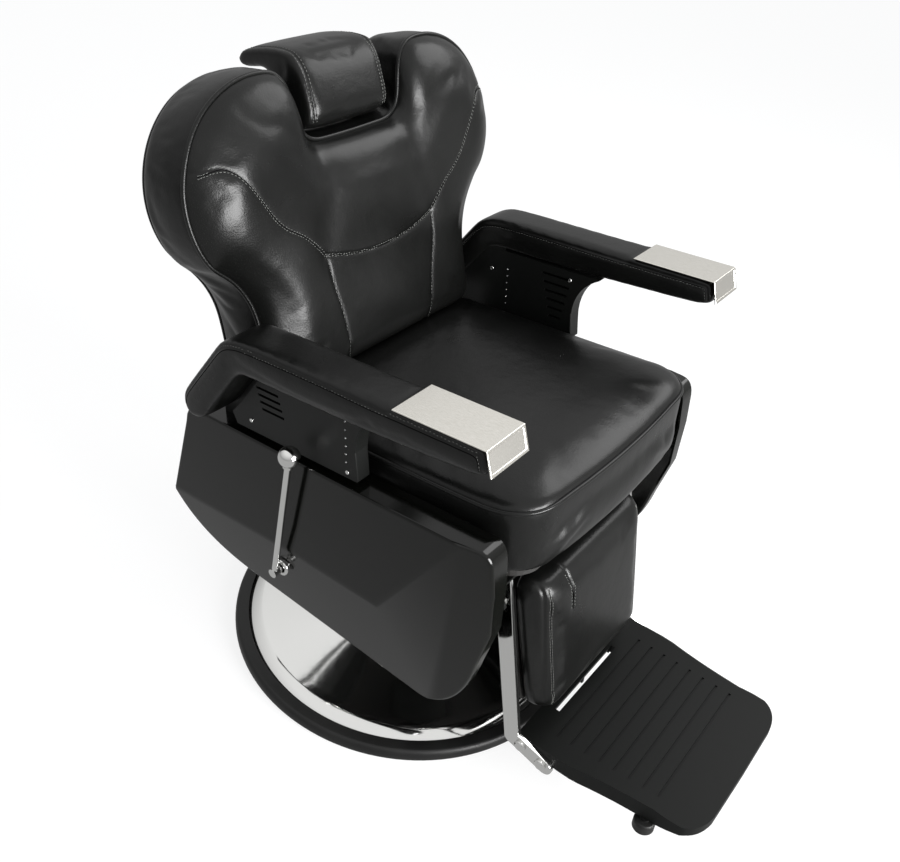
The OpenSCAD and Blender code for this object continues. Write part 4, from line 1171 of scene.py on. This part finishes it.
def finish_nodes():
    """Finishes for the CAD nodes that stay."""
    for kind, nodes in FINISHES.items():
        for node in nodes:
            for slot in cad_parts[node].material_slots:
                slot.material = material_of(kind)


# ---------------------------------------------------------------- stage

def area_light(name, place, aim, size, power):
    """A soft rectangular light at a place, turned towards its aim."""
    light = bpy.data.lights.new(name, "AREA")
    light.shape = "RECTANGLE"
    light.size, light.size_y = size
    light.energy = power
    obj = bpy.data.objects.new(name, light)
    obj.location = place
    obj.rotation_euler = (Vector(aim) - Vector(place)).to_track_quat("-Z", "Y").to_euler()
    bpy.context.scene.collection.objects.link(obj)


def backdrop_rays(tree):
    """1 for the camera's rays, and 1 for the rays of gloss and glass: both meet the backdrop itself."""
    path = add(tree, "ShaderNodeLightPath")
    sharp = add(tree, "ShaderNodeMath", {"operation": "MAXIMUM"})
    tree.links.new(path.outputs["Is Glossy Ray"], sharp.inputs[0])
    tree.links.new(path.outputs["Is Transmission Ray"], sharp.inputs[1])
    return path.outputs["Is Camera Ray"], sharp.outputs[0]


def mixed(tree, share, first, second):
    """Two shaders mixed, by a number or by a node's output."""
    mix = add(tree, "ShaderNodeMixShader")
    if isinstance(share, float):
        mix.inputs["Fac"].default_value = share
    else:
        tree.links.new(share, mix.inputs["Fac"])
    tree.links.new(first, mix.inputs[1])
    tree.links.new(second, mix.inputs[2])
    return mix.outputs["Shader"]


def lay_floor():
    """A pale floor that the camera sees as white, with the chair's shadow, and gloss as grey."""
    deselect()
    bpy.ops.mesh.primitive_plane_add(size=FLOOR_SIZE, location=(0, 0, 0))
    floor = bpy.context.object
    floor.name = "floor"
    material, tree, shader, _ = new_material(
        "floor_paint", Base_Color=[*bpy.context.scene.barber_stage.floor, 1], Roughness=0.9,
        Specular_IOR_Level=0.1)
    camera_ray, sharp_ray = backdrop_rays(tree)
    white = add(tree, "ShaderNodeEmission", {"Color": (1, 1, 1, 1), "Strength": 1.05}).outputs[0]
    grey = add(tree, "ShaderNodeEmission", {"Color": (1, 1, 1, 1), "Strength": MIRRORED_FLOOR})
    shadowed = add(tree, "ShaderNodeBsdfDiffuse", {"Color": (0.98, 0.98, 0.98, 1)}).outputs[0]
    seen = mixed(tree, FLOOR_WHITENESS, shadowed, white)
    plain = mixed(tree, camera_ray, shader.outputs[0], seen)
    tree.links.new(mixed(tree, sharp_ray, plain, grey.outputs[0]),
                   tree.nodes["Material Output"].inputs["Surface"])
    floor.data.materials.append(material)


def light_world():
    """A white backdrop all round, which gloss mirrors as grey low down and white overhead."""
    world = bpy.data.worlds.new("studio")
    bpy.context.scene.world = world
    world.use_nodes = True
    tree = world.node_tree
    room = tree.nodes["Background"]
    room.inputs["Color"].default_value = linear("#f4f6f8")
    room.inputs["Strength"].default_value = ROOM_LIGHT
    camera_ray, sharp_ray = backdrop_rays(tree)
    white = add(tree, "ShaderNodeBackground", {"Color": (1, 1, 1, 1), "Strength": 1.0})
    height = add(tree, "ShaderNodeSeparateXYZ",
                 Vector=add(tree, "ShaderNodeTexCoord").outputs["Generated"])
    ceiling = add(tree, "ShaderNodeMapRange", {"From Max": 0.8, "To Min": HORIZON, "To Max": CEILING},
                  Value=height.outputs["Z"])
    mirrored_room = add(tree, "ShaderNodeBackground", {"Color": (1, 1, 1, 1)},
                        Strength=ceiling.outputs["Result"])
    lit = mixed(tree, sharp_ray, room.outputs[0], mirrored_room.outputs[0])
    tree.links.new(mixed(tree, camera_ray, lit, white.outputs[0]),
                   tree.nodes["World Output"].inputs["Surface"])


def place_camera():
    """The camera, turned by its azimuth from the front, its elevation and its roll."""
    a, e, r = CAMERA_AZIMUTH, CAMERA_ELEVATION, CAMERA_ROLL
    back = Vector((sin(a) * cos(e), -cos(a) * cos(e), sin(e)))
    right = (-back).cross(Z).normalized()
    up = right.cross(-back)
    turned_right = cos(r) * right + sin(r) * up
    turned_up = -sin(r) * right + cos(r) * up
    data = bpy.data.cameras.new("camera")
    data.sensor_width = SENSOR_WIDTH
    data.lens = CAMERA_LENS
    camera = bpy.data.objects.new("camera", data)
    camera.matrix_world = Matrix((turned_right, turned_up, back)).transposed().to_4x4()
    camera.location = CAMERA_PLACE
    bpy.context.scene.collection.objects.link(camera)
    bpy.context.scene.camera = camera


def build_stage():
    settings = bpy.context.scene.barber_stage
    lay_floor()
    light_world()
    area_light("front_softbox", *FRONT_SOFTBOX, settings.front_light)
    area_light("side_softbox", *SIDE_SOFTBOX, settings.side_light)
    place_camera()
    bpy.context.scene.view_settings.view_transform = "Standard"


# ---------------------------------------------------------------- operators

class BARBER_OT_back(bpy.types.Operator):
    """Upholster the back, with its piping, seams and stitches"""
    bl_idname = "barber.back"
    bl_label = "Back"

    def execute(self, context):
        upholster_back()
        return {"FINISHED"}


class BARBER_OT_seat(bpy.types.Operator):
    """Upholster the seat and pipe its edge"""
    bl_idname = "barber.seat"
    bl_label = "Seat"

    def execute(self, context):
        upholster_seat()
        return {"FINISHED"}


class BARBER_OT_arms(bpy.types.Operator):
    """Upholster both arm pads"""
    bl_idname = "barber.arms"
    bl_label = "Arm pads"

    def execute(self, context):
        for side in SIDES:
            upholster_arm(side)
        return {"FINISHED"}


class BARBER_OT_headrest(bpy.types.Operator):
    """Upholster the headrest"""
    bl_idname = "barber.headrest"
    bl_label = "Headrest"

    def execute(self, context):
        upholster_headrest()
        return {"FINISHED"}


class BARBER_OT_calf_pad(bpy.types.Operator):
    """Upholster the calf pad"""
    bl_idname = "barber.calf_pad"
    bl_label = "Calf pad"

    def execute(self, context):
        upholster_calf()
        return {"FINISHED"}


class BARBER_OT_casings(bpy.types.Operator):
    """Shape the moulded side casings"""
    bl_idname = "barber.casings"
    bl_label = "Side casings"

    def execute(self, context):
        for side in SIDES:
            shape_casing(side)
        return {"FINISHED"}


class BARBER_OT_arm_panels(bpy.types.Operator):
    """Shape the arm panels and set their screws"""
    bl_idname = "barber.arm_panels"
    bl_label = "Arm panels"

    def execute(self, context):
        for side in SIDES:
            shape_arm_panel(side)
            shape_arm_web(side)
            shape_arm_cap(side)
        return {"FINISHED"}


class BARBER_OT_base(bpy.types.Operator):
    """Finish the round base"""
    bl_idname = "barber.base"
    bl_label = "Base"

    def execute(self, context):
        shape_base()
        return {"FINISHED"}


class BARBER_OT_leg_rest(bpy.types.Operator):
    """Shape the leg rest's bars and the foot plate"""
    bl_idname = "barber.leg_rest"
    bl_label = "Leg rest"

    def execute(self, context):
        shape_leg_rest()
        return {"FINISHED"}


class BARBER_OT_lever(bpy.types.Operator):
    """Shape the recline lever"""
    bl_idname = "barber.lever"
    bl_label = "Recline lever"

    def execute(self, context):
        shape_lever()
        return {"FINISHED"}


class BARBER_OT_finishes(bpy.types.Operator):
    """Give every other part of the frame its finish"""
    bl_idname = "barber.finishes"
    bl_label = "Finishes"

    def execute(self, context):
        finish_nodes()
        return {"FINISHED"}


class BARBER_OT_stage(bpy.types.Operator):
    """Lay the floor and set the lights and the camera"""
    bl_idname = "barber.stage"
    bl_label = "Stage"

    def execute(self, context):
        build_stage()
        return {"FINISHED"}


OPERATORS = (
    BARBER_OT_stage, BARBER_OT_back, BARBER_OT_seat, BARBER_OT_arms, BARBER_OT_headrest,
    BARBER_OT_calf_pad, BARBER_OT_casings, BARBER_OT_arm_panels, BARBER_OT_base,
    BARBER_OT_leg_rest, BARBER_OT_lever, BARBER_OT_finishes,
)


class BARBER_PT_dressing(bpy.types.Panel):
    """Lists the chair's settings and the steps that dress it"""
    bl_idname = "BARBER_PT_dressing"
    bl_label = "Barber Chair"
    bl_space_type = "VIEW_3D"
    bl_region_type = "UI"
    bl_category = "Barber Chair"

    def draw(self, context):
        for group in (context.scene.barber_upholstery, context.scene.barber_shells,
                      context.scene.barber_stage):
            box = self.layout.box()
            for name in group.__annotations__:
                box.prop(group, name)
        for operator in OPERATORS:
            self.layout.operator(operator.bl_idname)


SETTINGS = (UpholsterySettings, ShellSettings, StageSettings)


def register():
    for cls in (*SETTINGS, *OPERATORS, BARBER_PT_dressing):
        bpy.utils.register_class(cls)
    bpy.types.Scene.barber_upholstery = PointerProperty(type=UpholsterySettings)
    bpy.types.Scene.barber_shells = PointerProperty(type=ShellSettings)
    bpy.types.Scene.barber_stage = PointerProperty(type=StageSettings)


def unregister():
    del bpy.types.Scene.barber_upholstery
    del bpy.types.Scene.barber_shells
    del bpy.types.Scene.barber_stage
    for cls in reversed((*SETTINGS, *OPERATORS, BARBER_PT_dressing)):
        bpy.utils.unregister_class(cls)


def main():
    register()
    deselect()
    bpy.ops.barber.stage()
    bpy.ops.barber.back()
    bpy.ops.barber.seat()
    bpy.ops.barber.arms()
    bpy.ops.barber.headrest()
    bpy.ops.barber.calf_pad()
    bpy.ops.barber.casings()
    bpy.ops.barber.arm_panels()
    bpy.ops.barber.base()
    bpy.ops.barber.leg_rest()
    bpy.ops.barber.lever()
    bpy.ops.barber.finishes()


if __name__ == "__main__":
    main()
